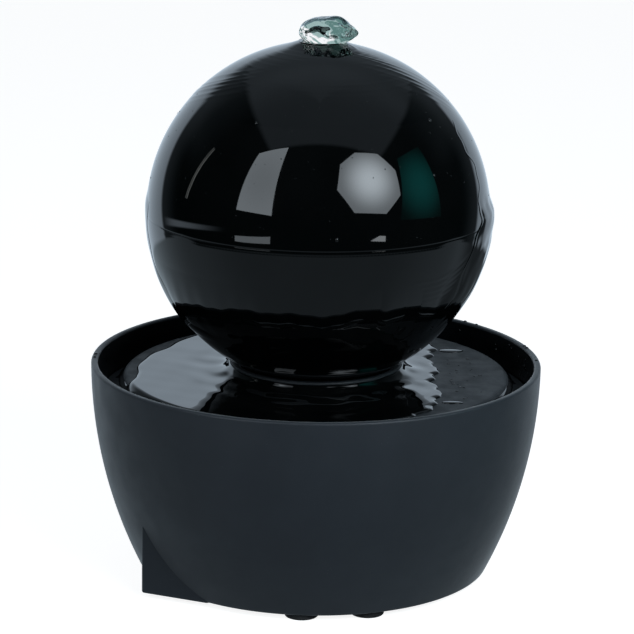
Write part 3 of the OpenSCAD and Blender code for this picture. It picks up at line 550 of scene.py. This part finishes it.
bowlSizes = {"footR": 0.1173, "wall": 0.0045, "lip": 0.0015, "ledgeDrop": 0.026, "ledge": 0.0045,
             "ledgeThick": 0.002, "ledgeRound": 0.0008, "ledgeLip": 0.0005, "footRound": 0.002,
             "floor": 0.004, "fillet": 0.008, "wetFromRow": 102, "cols": 320}


def bowlProfile(s):
    # up the outside on one big circle that stands upright at the rim, over the lip,
    # down past the ledge to the floor
    drop = rimZ - baseZ
    inward = rimR - s["footR"]
    big = (drop ** 2 + inward ** 2) / (2 * inward)
    cx = rimR - big
    inner = big - s["wall"]

    def angle(r, z):
        return -math.degrees(math.asin((rimZ - z) / r))

    def sideAt(r, z):
        return cx + math.sqrt(r * r - (rimZ - z) ** 2)

    footZ = baseZ + s["footRound"]
    floorZ = baseZ + s["floor"]
    lipZ = rimZ - s["lip"]
    ledgeZ = rimZ - s["ledgeDrop"]
    ledgeTop = ledgeZ + s["ledgeRound"]
    ledgeR = sideAt(inner, ledgeZ) - s["ledge"]
    ledgeFoot = ledgeZ - s["ledgeThick"] - s["ledge"]
    footAngle = angle(big - s["footRound"], footZ)
    filletZ = floorZ + s["fillet"]
    filletAngle = angle(inner - s["fillet"], filletZ)
    return np.vstack([
        line((0, baseZ), (s["footR"] * 0.9, baseZ), 12),
        bow(sideAt(big - s["footRound"], footZ), footZ, s["footRound"], -90, footAngle, 6),
        bow(cx, rimZ, big, footAngle + 0.3, angle(big, lipZ) - 0.05, 70),
        bow(sideAt(big - s["lip"], lipZ), lipZ, s["lip"], 0, 90, 8),
        bow(sideAt(big - s["wall"] + s["lip"], lipZ), lipZ, s["lip"], 90, 180, 8),
        bow(cx, rimZ, inner, angle(inner, lipZ - 0.001), angle(inner, ledgeTop), 14),
        bow(sideAt(inner, ledgeTop) - s["ledgeRound"], ledgeTop, s["ledgeRound"], 0, -90, 4),
        bow(ledgeR + s["ledgeLip"], ledgeZ - s["ledgeLip"], s["ledgeLip"], 90, 180, 4),
        [(ledgeR, ledgeZ - s["ledgeThick"])],
        bow(cx, rimZ, inner, angle(inner, ledgeFoot), filletAngle, 40),
        bow(sideAt(inner - s["fillet"], filletZ), filletZ, s["fillet"], filletAngle - 6, -90, 10),
        line((s["footR"] * 0.8, floorZ), (0, floorZ), 12),
    ])


def makeBowl():
    # the profile spun round the axis; the inside, from the lip's inner edge down, is wet
    cols = bowlSizes["cols"]
    points, faces = capped(spun(bowlProfile(bowlSizes), cols))
    wet = np.zeros(sum(len(f) for f in faces), int)
    wet[bowlSizes["wetFromRow"] * cols:len(faces[0])] = 1
    wet[-cols:] = 1
    addPiece("bowl_body", points, faces, "bowl", finish("bowl_charcoal"), stands=["bowl"],
             second=(finish("bowl_wet"), wet))


ductSizes = {"turn": -23.2, "box": (-0.0732, -0.024, -0.1153, -0.085), "foot": 0.0036, "top": 0.100,
             "shaft": (-0.0665, -0.0365, -0.1128, -0.0875), "shaftFloor": 0.0065, "round": 0.0024,
             "edge": 0.0012, "topEdge": 0.0006, "mouthEdge": 0.0004, "shaftRound": 0.0005}


def roundedLoop(x0, x1, y0, y1, r, n=8):
    # a rectangle with rounded corners, the same number of points for any size
    left, right, front, back = x0 + r, x1 - r, y0 + r, y1 - r
    turns = ((right, front, -90), (right, back, 0), (left, back, 90), (left, front, 180))
    loop = np.vstack([bow(cx, cy, r, a, a + 90, n) for cx, cy, a in turns])
    # extra points along the straight sides
    nxt = np.roll(loop, -1, 0)
    steps = np.linspace(0, 1, 4, endpoint=False)[None, :, None]
    return (loop[:, None] * (1 - steps) + nxt[:, None] * steps).reshape(-1, 2)


def makeDuct():
    # a rounded post closed at its foot, with a dry shaft down from its top, made of level rings and then
    # turned; a box is left, right, front and back
    s = ductSizes
    foot, top, edge, topEdge, mouth = s["foot"], s["top"], s["edge"], s["topEdge"], s["mouthEdge"]

    def level(inset, z, box=s["box"], r=s["round"]):
        inner = max(r - inset, mouth)
        loop = roundedLoop(box[0] + inset, box[1] - inset, box[2] + inset, box[3] - inset, inner)
        return np.column_stack([loop, np.full(len(loop), z)])

    def pole(box, z):
        return np.tile([(box[0] + box[1]) / 2, (box[2] + box[3]) / 2, z], (len(level(0, z)), 1))

    quarter = np.linspace(0, math.pi / 2, 5)
    topQuarter = np.linspace(0, math.pi / 2, 4)
    shaftTurn = s["shaftRound"]
    rings = [pole(s["box"], foot)]
    rings += [level(edge * (1 - math.sin(a)), foot + edge * (1 - math.cos(a))) for a in quarter]
    rings += [level(0, foot + (top - foot) * k) for k in np.linspace(0.1, 0.9, 8)]
    rings += [level(topEdge * (1 - math.cos(a)), top - topEdge * (1 - math.sin(a))) for a in topQuarter]
    rings += [level(-mouth, top, s["shaft"], shaftTurn), level(0, top - mouth, s["shaft"], shaftTurn)]
    deep = top - s["shaftFloor"]
    rings += [level(0, top - deep * k, s["shaft"], shaftTurn) for k in np.linspace(0.1, 1, 6)]
    rings += [pole(s["shaft"], s["shaftFloor"])]
    grid = np.stack(rings)
    turn = s["turn"] * deg
    x, y = grid[..., 0].copy(), grid[..., 1].copy()
    grid[..., 0] = x * math.cos(turn) - y * math.sin(turn)
    grid[..., 1] = x * math.sin(turn) + y * math.cos(turn)
    points, faces = capped(grid)
    addPiece("cable_duct", points, faces, "bowl", finish("bowl_charcoal"))


makeBowl()
makeDuct()
print("bowl and cable duct built")

ballSizes = {"crownR": 0.016, "stemR": 0.0106, "shell": 0.003, "seamDepth": 0.00007, "seamWidth": 0.00036,
             "footR": 0.044, "neckR": 0.0335, "neckWall": 0.003, "edge": 0.0005, "rows": 150,
             "insideRows": 60, "crowding": 1.9, "cols": 300}


def ballSkin(lat):
    # distance of the ball's skin from its middle: round, with a soft notch where the shells meet
    gap = np.abs(np.sin(lat)) * ballR
    return ballR - ballSizes["seamDepth"] * np.exp(-((gap / ballSizes["seamWidth"]) ** 2))


def towardsSeam(a, b, n):
    # latitudes from a to b, crowded where b is the seam
    t = np.linspace(0, 1, n)
    return a + (b - a) * (1 - (1 - t) ** ballSizes["crowding"])


def meridian(radius, lat):
    # (radius, height) points of a round skin at these latitudes
    return np.stack([radius * np.cos(lat), ballZ + radius * np.sin(lat)], 1)


def makeShells():
    # each shell is a closed profile spun round the axis
    s = ballSizes
    inner = ballR - s["shell"]
    edge = s["edge"]
    stuff = finish("ball_gloss")
    # upper shell: crown, skin down to the seam, back up inside
    lat = towardsSeam(math.acos(s["crownR"] / ballR), 0.0, s["rows"])
    inside = np.linspace(0.0, math.acos(s["stemR"] / inner), s["insideRows"])
    crown = line((s["stemR"], crownZ), (s["crownR"] - edge, crownZ), 4)
    profile = np.vstack([crown, meridian(ballSkin(lat), lat), meridian(inner, inside)])
    faces = [gridQuads(len(profile), s["cols"], True).reshape(-1, 4)]
    addPiece("ball_upper", spun(profile, s["cols"]), faces, "ball", stuff,
             stands=["upper_shell"], sharp=30)
    # lower shell: skin down to the foot, in under it, down the neck and back up inside
    lat = towardsSeam(-math.asin((ballZ - deckZ) / ballR), 0.0, s["rows"])[::-1]
    neckZ = float(corner("lower_shell", False)[2])
    ringZ = ballZ - math.sqrt(inner ** 2 - s["footR"] ** 2)
    neckR = s["neckR"]
    neckIn = neckR - s["neckWall"]
    inside = np.linspace(-math.acos(s["footR"] / inner), 0.0, s["insideRows"])
    profile = np.vstack([meridian(ballSkin(lat), lat),
                         line((s["footR"] - 2 * edge, deckZ), (neckR, deckZ), 5),
                         line((neckR, deckZ - 2 * edge), (neckR, neckZ + edge), 4),
                         [(neckR - edge, neckZ), (neckIn, neckZ), (neckIn, ringZ)],
                         meridian(inner, inside)])
    faces = [gridQuads(len(profile), s["cols"], True).reshape(-1, 4)]
    addPiece("ball_lower", spun(profile, s["cols"]), faces, "ball", stuff,
             stands=["lower_shell"], sharp=30)


makeShells()
print("ball built")

# latitudes in degrees, top and foot, and the numbers of rows and columns
filmSizes = {"under": 0.0014, "closingRows": 14, "upper": (90, 34, 200, 420), "lower": (-0.2, -58, 210, 420)}


def window(x, low, high, soft):
    # 1 between low and high, falling smoothly to 0 over soft on each side
    a = np.clip((x - low) / soft + 1, 0, 1)
    b = np.clip((high - x) / soft + 1, 0, 1)
    return (a * a * (3 - 2 * a)) * (b * b * (3 - 2 * b))


def ridge(x, width):
    # a rounded ridge about 0
    return np.exp(-((x / width) ** 2))


def waves(along, parts):
    # a sum of sine waves, each given as height, pitch and shift
    return sum(height * np.sin(pitch * along + shift) for height, pitch, shift in parts)


def degreesFrom(az, middle):
    # angle from the middle azimuth, -180 to 180
    return (np.degrees(az) - middle + 180) % 360 - 180


# heights in millimetres and angles in degrees; a streak is its place and its height
upperFlow = {
    "mound": 2.0, "moundFlat": 5.5, "moundWidth": 4.6,
    "wander": ((0.7, 2, 0.4), (0.5, 5, 1.3), (0.3, 9, 2.2)), "rings": 0.022, "ringsFrom": 11, "ringsTo": 34,
    "leftMiddle": 205, "leftSlope": 0.29, "leftWidth": 0.85,
    "leftStreaks": ((34.2, 0.17), (36.4, 0.28), (38.4, 0.22), (40.8, 0.16), (31.0, 0.09), (43.5, 0.08)),
    "rightMiddle": -16, "rightFall": 36.5, "rightSlope": 0.66, "rightCurve": 0.006, "rightWidth": 0.95,
    "rightStreaks": ((-5.0, 0.10), (0.0, 0.17), (3.4, 0.13), (6.6, 0.08), (-9.0, 0.08), (10.5, 0.05)),
    "creases": 0.15, "creaseMiddle": -42, "skin": 0.05, "sunk": 0.03, "ends": 47,
}


def moundHeight(fall):
    # water heaped over the nozzle's flange; fall is degrees from the top of the ball
    s = upperFlow
    return s["mound"] * np.exp(-((np.clip(fall - s["moundFlat"], 0, 90) / s["moundWidth"]) ** 2))


def upperWater(az, lat):
    # rings that run out from the jet, bundles of sharper streaks at both shoulders and creases between them
    s = upperFlow
    fall = 90 - np.degrees(lat)
    wander = waves(az, s["wander"])
    rings = np.sin(fall * 2.4 + wander) + 0.5 * np.sin(fall * 4.1 - 1.7 * wander + 1)
    patches = 0.55 + 0.45 * np.sin(3 * az + 0.12 * fall)
    height = s["rings"] * rings * patches * window(fall, s["ringsFrom"], s["ringsTo"], 8)
    left = degreesFrom(az, s["leftMiddle"])
    leftPart = window(left, -50, 2, 30) ** 1.5
    for at, size in s["leftStreaks"]:
        bend = 0.25 * np.sin(0.11 * left + at) - s["leftSlope"] * left
        height = height + size * ridge(fall - at - bend, s["leftWidth"]) * leftPart
    right = degreesFrom(az, s["rightMiddle"])
    rightPart = window(right, -16, 10, 30) ** 1.3
    for at, size in s["rightStreaks"]:
        bend = s["rightSlope"] * right + s["rightCurve"] * right ** 2 + 0.6 * np.sin(0.11 * right + at)
        height = height + size * ridge(fall - s["rightFall"] - bend - at, s["rightWidth"]) * rightPart
    near = window(fall, 9, 12, 5) * window(degreesFrom(az, s["creaseMiddle"]), -14, 30, 18)
    creases = 0.5 + 0.5 * np.sin(13 * az + 1.1 * fall + 1.5 * np.sin(5 * az))
    height = height + s["creases"] * near * creases ** 2
    edge = window(fall, 0, s["ends"], 6)
    return height * edge + s["skin"] * edge - s["sunk"] + moundHeight(fall)


# a cusp is its place, its softness, its height and its widths on the left and on the right
lowerFlow = {
    "sag": 4.4, "sagWaves": ((1.1, 0.11, 0.7), (0.8, 0.31, 1.0), (0.4, 0.83, 0.0)),
    "cusps": ((20.5, 1.0, 9.5, 8.0, 3.0), (36.5, 1.5, 7.0, 5.0, 5.0)),
    "swell": 0.021, "swellFrom": 13.0, "beadAt": 26.6, "bead": 0.21, "beadWidth": 0.5,
    "steps": 5, "stepAt": 12.6, "stepApart": 1.9, "stepHeight": 0.13, "stepFade": 0.018, "stepBend": 44,
    "runs": 0.08, "ripple": 0.03, "skin": 0.035, "sunk": 0.02,
}


def lowerWater(az, lat):
    # a thin skin that swells downwards in lobes, so that the rim's mirror image hangs in scallops, and a fine
    # bead below; front is degrees from the front and down is degrees below the seam
    s = lowerFlow
    front = degreesFrom(az, -90)
    down = -np.degrees(lat)
    sag = s["sag"] + waves(front, s["sagWaves"])
    for at, soft, high, leftWidth, rightWidth in s["cusps"]:
        away = np.sqrt((front - at) ** 2 + soft)
        sag = sag - high * np.exp(-away / np.where(front < at, leftWidth, rightWidth))
    sag = sag * window(front, -62, 46, 12)
    height = s["swell"] * sag * np.clip(down - s["swellFrom"], 0, 15) * window(down, 0, 30, 8)
    beadAt = s["beadAt"] + 0.42 * (sag - s["sag"])
    height = height + s["bead"] * ridge(down - beadAt, s["beadWidth"]) * window(front, -22, 44, 8)
    # short steps stacked towards the sheet at the right, each a little lower than the last
    past = np.clip(front - s["stepBend"], 0, 40)
    for k in range(s["steps"]):
        at = s["stepAt"] + s["stepApart"] * k - 0.16 * past - 0.012 * past ** 2
        size = s["stepHeight"] - s["stepFade"] * k
        height = height + size * ridge(down - at, 0.62) * window(front, 36 + k, 60 - 2 * k, 4)
    runs = 0.5 + 0.5 * np.sin(front * 0.16 + 0.8 + 0.5 * np.sin(down * 0.08))
    height = height + s["runs"] * runs * window(down, 34, 80, 10)
    height = height + s["ripple"] * np.sin(down * 1.3 + 0.1 * front) * window(down, 34, 80, 6) * runs
    seam = window(down, 2.4, 90, 2.2)
    return height * seam + s["skin"] * seam - s["sunk"]


sheetSizes = {"top": 42, "foot": -46, "rows": 260, "cols": 250, "right": (-62, 48), "left": (228, 148),
              "rightEdge": 61.0, "rightBead": (0.09, 0.26, 1.15), "rightSwell": 3.0, "rightSkin": 0.02,
              "leftEdge": 80.0, "leftBead": (0.22, 0.9), "leftSwell": 1.3, "stretch": 1.9, "sunk": 0.5}


def rightSheet(az, lat):
    # a sheet down the right side: a fine bead along its ragged front edge, and a bulge below the seam that is
    # thickest at its top; d is how far a point lies inside the edge
    s = sheetSizes
    front = degreesFrom(az, -90)
    down = -np.degrees(lat)
    low = window(down, -5, 90, 5)
    edge = s["rightEdge"] + 2.0 * np.sin(0.30 * down + 0.9) - 0.022 * np.clip(down - 4, 0, 60) ** 2
    edge = edge + 8 * np.exp(-(np.clip(down + 3, 0, 99) / 3.0) ** 2)
    edge = edge + (1 - low) * (0.5 + 0.7 * np.sin(0.8 * down))
    d = (front - edge) * s["stretch"]
    high, more, width = s["rightBead"]
    bead = (high + more * low) * ridge(d - 0.6, width)
    thin = np.clip(1 - (down + 2) / 36, 0, 1)
    swell = s["rightSwell"] * (1 - np.exp(-np.clip(d, 0, 99) / 18)) * window(down, -2, 90, 5.5) * thin
    streaks = 0.07 * np.sin(0.42 * d + 0.22 * down) + 0.05 * np.sin(0.30 * down - 0.5 * d + 1)
    lumps = 0.22 * np.sin(0.75 * down + 1) * window(down, -9, 5, 4) * window(front, 80, 130, 8)
    cover = window(down, -36, 36, 5) * window(front, 30, 118, 20) * window(d, 0, 200, 1.8)
    height = swell + bead + (streaks + lumps) * np.clip(d / 5, 0, 1) * window(down, -6, 34, 6)
    return height * cover + s["rightSkin"] * cover - s["sunk"] * (1 - cover)


def leftSheet(az, lat):
    # a thinner sheet at the left edge with a bead along its front
    s = sheetSizes
    front = -degreesFrom(az, -90)
    down = -np.degrees(lat)
    edge = s["leftEdge"] - 0.035 * np.clip(down - 8, 0, 40) ** 2 + 1.2 * np.sin(0.5 * down)
    d = (front - edge) * s["stretch"]
    high, width = s["leftBead"]
    height = high * ridge(d - 0.6, width) + s["leftSwell"] * (1 - np.exp(-np.clip(d, 0, 99) / 14))
    cover = window(d, 0, 200, 1.6) * (window(down, -2, 36, 9) * window(front, 30, 118, 20))
    return height * cover - s["sunk"] * (1 - cover)


def pillow(top, under):
    # two grids of the same size joined along their four borders into one closed skin
    rows, cols = top.shape[:2]
    lower = rows * cols
    upper = gridQuads(rows, cols, False, False).reshape(-1, 4)
    index = np.arange(lower).reshape(rows, cols)
    border = np.concatenate([index[0, :-1], index[:-1, -1], index[-1, :0:-1], index[:0:-1, 0]])
    nxt = np.roll(border, -1)
    wall = np.stack([border, border + lower, nxt + lower, nxt], 1)
    return np.vstack([top.reshape(-1, 3), under.reshape(-1, 3)]), [upper, upper[:, ::-1] + lower, wall]


def onBall(radius, az, lat):
    # points at this distance from the ball's middle
    out = radius * np.cos(lat)
    return np.stack([out * np.cos(az), out * np.sin(az), ballZ + radius * np.sin(lat)], -1)


def makeSheet(name, formula, azFrom, azTo):
    # a patch of the ball raised by the formula, over the same patch sunk just under the ball's skin
    s = sheetSizes
    lat = np.radians(np.linspace(s["top"], s["foot"], s["rows"]))
    az = np.radians(np.linspace(azFrom, azTo, s["cols"]))
    lat, az = np.meshgrid(lat, az, indexing="ij")
    tall = ballR + formula(az, lat) * mm
    points, faces = pillow(onBall(tall, az, lat), onBall(ballR - filmSizes["under"], az, lat))
    addPiece(name, points, faces, "ball", finish("wet_gloss"), sharp=None)


def makeFilm(name, formula, top, foot, rows, cols):
    # the ball's skin plus the height of the water, closed by rows that run back just under the skin;
    # a film that starts at the top is closed there by a pole above and a pole below
    closing = filmSizes["closingRows"]
    lat = np.radians(np.linspace(top, foot, rows))[:, None]
    az = np.linspace(0, 2 * np.pi, cols, endpoint=False)[None, :]
    tall = ballSkin(lat) + formula(az, lat) * mm
    back = np.radians(np.linspace(foot, top, closing))[:, None]
    deep = np.full((closing, cols), ballR - filmSizes["under"])
    points = onBall(np.vstack([tall, deep]), az, np.vstack([lat, back]))
    if top == 90:
        points, faces = capped(points)
    else:
        faces = [gridQuads(rows + closing, cols, True).reshape(-1, 4)]
    addPiece(name, points, faces, "ball", finish("wet_gloss"), sharp=None)


makeFilm("water_film_upper", upperWater, *filmSizes["upper"])
makeFilm("water_film_lower", lowerWater, *filmSizes["lower"])
makeSheet("water_sheet_right", rightSheet, *sheetSizes["right"])
makeSheet("water_sheet_left", leftSheet, *sheetSizes["left"])

# lobes: direction, width and height of each swelling, as a share of the radius
domeSizes = {
    "mid": (0.0034, 0.0008, 0.3636), "half": (0.0170, 0.0158, 0.0102), "sunk": 0.0004, "rows": 150,
    "cols": 260,
    "lobes": [((-0.80, -0.35, 0.40), 0.60, 0.08), ((0.45, -0.10, 0.90), 0.42, 0.16),
              ((0.97, -0.25, 0.05), 0.38, 0.24), ((-0.10, -0.75, 0.65), 0.30, -0.16),
              ((-0.05, 0.0, 1.0), 0.26, -0.10), ((0.5, -0.75, 0.45), 0.22, 0.11),
              ((-0.45, -0.85, 0.05), 0.34, 0.13), ((0.75, -0.6, -0.1), 0.18, 0.12),
              ((-0.4, 0.8, 0.5), 0.5, 0.08), ((0.25, -0.95, 0.10), 0.20, -0.13),
              ((0.6, 0.6, 0.5), 0.4, 0.08), ((0.15, -0.55, 0.85), 0.14, 0.07),
              ((-0.7, -0.65, 0.30), 0.12, -0.06), ((0.7, -0.5, 0.5), 0.10, -0.06)],
}


def makeDome():
    # an egg-shaped grid whose radius swells into lobes: each lobe is a smooth bump about one direction;
    # its foot rests on the crown and runs a little way down the ball
    s = domeSizes
    polar = np.linspace(0, np.pi, s["rows"])[:, None]
    az = np.linspace(0, 2 * np.pi, s["cols"], endpoint=False)[None, :]
    way = np.stack([np.sin(polar) * np.cos(az), np.sin(polar) * np.sin(az), np.cos(polar) + 0 * az], -1)
    swell = np.ones(way.shape[:2])
    for towards, width, size in s["lobes"]:
        at = np.array(towards) / np.linalg.norm(towards)
        swell = swell + size * np.exp(-(1 - way @ at) / (width ** 2 * 0.5))
    fine = 0.016 * np.sin(9 * az + 6 * polar) + 0.010 * np.sin(17 * az - 9 * polar)
    swell = swell + fine * np.sin(polar) ** 2
    points = np.array(s["mid"]) + way * np.array(s["half"]) * swell[..., None]
    r = np.hypot(points[..., 0], points[..., 1])
    mound = moundHeight(np.degrees(np.arcsin(r / ballR))) * mm
    skin = ballZ + np.sqrt(ballR ** 2 - r ** 2) + mound
    points[..., 2] = np.maximum(points[..., 2], skin - s["sunk"])
    points, faces = capped(points)
    addPiece("water_dome", points, faces, "ball", water, sharp=None)


makeDome()
print("water on the ball built")

# the first line is in metres, and the lengths after the counts are in millimetres
poolSizes = {
    "inner": 0.050, "outer": 0.1318, "edge": 0.1252, "edgeCurve": 0.0105, "under": 0.0012,
    "rows": 170, "cols": 480, "closingRows": 8,
    "depth": 1.5, "shoreWidth": 4.5, "rightLine": 78, "leftEdge": 119.5,
    "leftWaves": ((2.0, 6, 0.6), (1.4, 11, 1), (0.6, 23, 0)),
    "slantAt": (43, -118), "slant": (42, 38), "spill": 15, "spillAt": 245,
    "skirt": 6.0, "skirtFrom": 58, "skirtWidth": 3.2, "ripples": 0.16,
}


def shoreDistance(x, y):
    # how far inside the wet area: left of a ragged line on the right that slants at the front,
    # and inside the deck's edge at the left and back
    s = poolSizes
    r = np.hypot(x, y)
    az = np.arctan2(y, x)
    ragged = 2.4 * np.sin(y * 0.115 + 0.6) + 2.6 * np.abs(np.sin(y * 0.165 + 0.4))
    ragged = ragged + 0.8 * np.sin(y * 0.43 + 1)
    rightLine = s["rightLine"] - x + ragged
    (slantX, slantY), (runX, runY) = s["slantAt"], s["slant"]
    slant = ((slantX - x) * runX - (slantY - y) * runY) / math.hypot(runX, runY)
    rightShore = np.where(y < -70, np.minimum(rightLine, slant + 0.8 * ragged), rightLine)
    leftEdge = s["leftEdge"] + waves(az, s["leftWaves"]) - r
    spill = window(degreesFrom(az, s["spillAt"]), -40, 40, 16)
    return np.minimum(rightShore, leftEdge + s["spill"] * spill)


def poolHeight(x, y):
    # above the deck: a meniscus that rises from the shore, slow waves that steepen towards the ball,
    # and a skirt that climbs to it
    s = poolSizes
    d = shoreDistance(x, y)
    r = np.hypot(x, y)
    az = np.arctan2(y, x)
    near = np.clip(d / s["shoreWidth"], 0, 1)
    rise = np.sqrt(near * (2 - near))
    swell = 0.055 * np.sin(0.11 * x + 0.10 * y + 1.4 * np.sin(0.031 * y + 0.02 * x))
    swell = swell + 0.030 * np.sin(-0.19 * x + 0.09 * y + 1 + 1.2 * np.sin(0.04 * x))
    swell = swell + 0.010 * np.sin(0.33 * y + 0.16 * x)
    rings = 0.10 * np.sin(0.30 * r + 1.8 * np.sin(4 * az + 0.5)) + 0.09 * np.sin(0.17 * x + 0.24 * y + 2)
    swell = swell + window(r, 0, 72, 26) * rings
    wet = s["depth"] * rise + swell * np.clip(d / 10, 0, 1)
    wet = np.where(d < 0, np.maximum(-0.6, d * 0.5), wet)
    flute = 1 + 0.05 * np.sin(14 * az + 0.5) + 0.05 * np.sin(23 * az)
    skirt = s["skirt"] * np.exp(-np.clip(r - s["skirtFrom"], 0, 99) / (s["skirtWidth"] * flute))
    # small ripples where the water leaves the deck's front edge
    wet = wet + s["ripples"] * np.sin(1.15 * x + 0.4 * y) * window(x, 22, 34, 6) * window(y, -124, -114, 5)
    return np.where(d > -3, wet + skirt, wet)


def makePool():
    # rings round the axis at the water's height, closed by rings that run back under the deck's skin;
    # over the deck's rounded edge the water follows it down
    s = poolSizes
    r = np.linspace(s["inner"], s["outer"], s["rows"])[:, None]
    az = np.linspace(0, 2 * np.pi, s["cols"], endpoint=False)[None, :]
    x, y = r * np.cos(az), r * np.sin(az)
    over = np.clip(r - s["edge"], 0, 1)
    tall = deckZ + poolHeight(x / mm, y / mm) * mm - over ** 2 / s["edgeCurve"]
    closing = s["closingRows"]
    back = np.linspace(s["outer"] - 0.004, s["inner"], closing)[:, None]
    low = np.full((closing, s["cols"]), deckZ - s["under"])
    under = np.stack([back * np.cos(az), back * np.sin(az), low], -1)
    points = np.vstack([np.stack([x, y, tall], -1), under])
    faces = [gridQuads(s["rows"] + closing, s["cols"], True).reshape(-1, 4)]
    addPiece("tray_water", points, faces, "tray", finish("wet_gloss"), sharp=None)


makePool()
print("water on the tray built")

# angles in degrees, sizes in metres; beads are (azimuth, latitude, size), streaks are (middle, half sizes)
dropSizes = {
    "seed": 11, "mist": 240, "mistLow": 0.02, "mistHigh": 0.78, "mistSize": (0.00018, 0.00030),
    "beads": [(-118, 41, 0.0011), (-36, 40, 0.0012), (-46, 22, 0.0009), (-84, 4, 0.0012), (-75, 33, 0.0005)],
    "deck": 26, "deckX": (0.088, 0.116), "deckY": (-0.070, 0.050), "deckR": 0.119,
    "deckSize": (0.0005, 0.0009), "streakHigh": 0.0006,
    "streaks": [((0.0925, 0.060), (0.0090, 0.0055)), ((0.0890, -0.068), (0.0075, 0.0035))],
    "rim": 22, "rimRight": 18, "rightArc": (-4, 48), "leftArc": (165, 182), "rimSize": (0.0006, 0.0008),
    "onTop": 0.5, "topInset": 0.0022, "below": (0.004, 0.016),
}


def dropMesh(places):
    # each place is a middle, three directions (along, across, outwards) and three half sizes:
    # one small egg with its lower half flattened into the surface it sits on
    polar = np.array([0.28, 0.62, 1.0, 1.5, 2.2])
    az = np.linspace(0, 2 * np.pi, 9, endpoint=False)
    body = np.stack([np.sin(polar)[:, None] * np.cos(az), np.sin(polar)[:, None] * np.sin(az),
                     np.cos(polar)[:, None] + 0 * az], -1)
    body[..., 2] = np.maximum(body[..., 2], -0.35)
    shape = np.concatenate([np.tile([0, 0, 1.0], (1, 9, 1)), body, np.tile([0, 0, -0.35], (1, 9, 1))])
    unit, parts = capped(shape)
    allPoints, allFaces = [], [[], [], []]
    for k, (mid, axes, half) in enumerate(places):
        allPoints.append(np.array(mid) + (unit * np.array(half)) @ np.array(axes))
        for store, part in zip(allFaces, parts):
            store.append(part + k * len(unit))
    return np.vstack(allPoints), [np.vstack(part) for part in allFaces]


def axesFor(out):
    # along and across a surface whose outward direction is out
    out = np.array(out, float) / np.linalg.norm(out)
    across = np.cross((0, 0, 1), out)
    across = across / np.linalg.norm(across) if np.linalg.norm(across) > 1e-3 else np.array([1.0, 0, 0])
    return np.stack([across, np.cross(out, across), out])


def outward(az, lat):
    # direction from the ball's middle, angles in radians
    return np.array([math.cos(lat) * math.cos(az), math.cos(lat) * math.sin(az), math.sin(lat)])


def dropOnBall(az, lat, half):
    out = outward(az, lat)
    return (0, 0, ballZ) + out * ballR, axesFor(out), half


def addDrops(name, places, body):
    points, faces = dropMesh(places)
    addPiece(name, points, faces, body, finish("wet_gloss"), sharp=None)


def makeDrops():
    s = dropSizes
    dice = np.random.default_rng(s["seed"])
    # spray on the upper ball, a few larger beads among it
    places = []
    least, more = s["mistSize"]
    for k in range(s["mist"]):
        az = math.radians(dice.uniform(0, 360))
        lat = math.asin(dice.uniform(s["mistLow"], s["mistHigh"]))
        size = least + more * dice.random() ** 3
        places.append(dropOnBall(az, lat, (size, size * 1.1, size * 0.7)))
    for az, lat, size in s["beads"]:
        places.append(dropOnBall(math.radians(az), math.radians(lat), (size, size * 1.3, size * 0.6)))
    addDrops("drops_on_ball", places, "ball")
    # drops and two thin streaks on the dry side of the deck
    places = []
    least, more = s["deckSize"]
    for k in range(s["deck"]):
        x, y = dice.uniform(*s["deckX"]), dice.uniform(*s["deckY"])
        if math.hypot(x, y) > s["deckR"]:
            continue
        size = least + more * dice.random() ** 2
        places.append(((x, y, deckZ), axesFor((0, 0, 1)), (size * dice.uniform(1, 1.6), size, size * 0.45)))
    for mid, half in s["streaks"]:
        places.append(((*mid, deckZ), axesFor((0, 0, 1)), (*half, s["streakHigh"])))
    addDrops("drops_on_tray", places, "tray")
    # beads caught on the bowl's rim, on its top or just inside
    places = []
    least, more = s["rimSize"]
    for k in range(s["rim"]):
        az = math.radians(dice.uniform(*(s["rightArc"] if k < s["rimRight"] else s["leftArc"])))
        size = least + more * dice.random()
        if dice.random() < s["onTop"]:
            r, z, out = rimR - s["topInset"], rimZ, (0, 0, 1)
        else:
            r, z = rimR - bowlSizes["wall"] - 0.0001, rimZ - dice.uniform(*s["below"])
            out = (-math.cos(az), -math.sin(az), 0.1)
        mid = (r * math.cos(az), r * math.sin(az), z)
        places.append((mid, axesFor(out), (size, size * 1.2, size * 0.6)))
    addDrops("drops_on_rim", places, "bowl")


makeDrops()
print("droplets built")

# the other CAD nodes keep their shape and get a finish each
plain = {
    "tray": "tray_black", "rubber_feet": "black_rubber", "inlet_socket": "black_plastic",
    "inlet_pin": "contact_brass", "inlet_seal": "black_rubber", "inlet_nut": "nut_steel",
    "equator_ring": "black_plastic", "nozzle": "wet_gloss", "nozzle_washer": "black_rubber",
    "nozzle_nut": "black_plastic", "riser_tube": "riser_pvc", "riser_guide": "black_plastic",
    "riser_seal": "black_rubber", "pump_housing": "pump_abs", "resin_potting": "potting_resin",
    "pump_gland": "black_rubber", "stator_core": "stator_steel", "coil_bobbin": "bobbin_nylon",
    "coil_winding": "winding_copper", "rotor_magnet": "magnet_ferrite", "impeller": "impeller_plastic",
    "impeller_shaft": "shaft_ceramic", "rear_bush": "black_rubber", "front_bush": "black_rubber",
    "volute_seal": "black_rubber", "volute_cover": "pump_abs", "intake_cover": "pump_abs",
    "filter_sponge": "sponge_foam", "flow_dial": "dial_grey", "suction_cups": "black_rubber",
    "pump_lead": "lead_pvc",
}
for name, kind in plain.items():
    item = nodes[name]
    item.data.materials.clear()
    item.data.materials.append(finish(kind))
print("finishes on", len(plain), "CAD nodes")
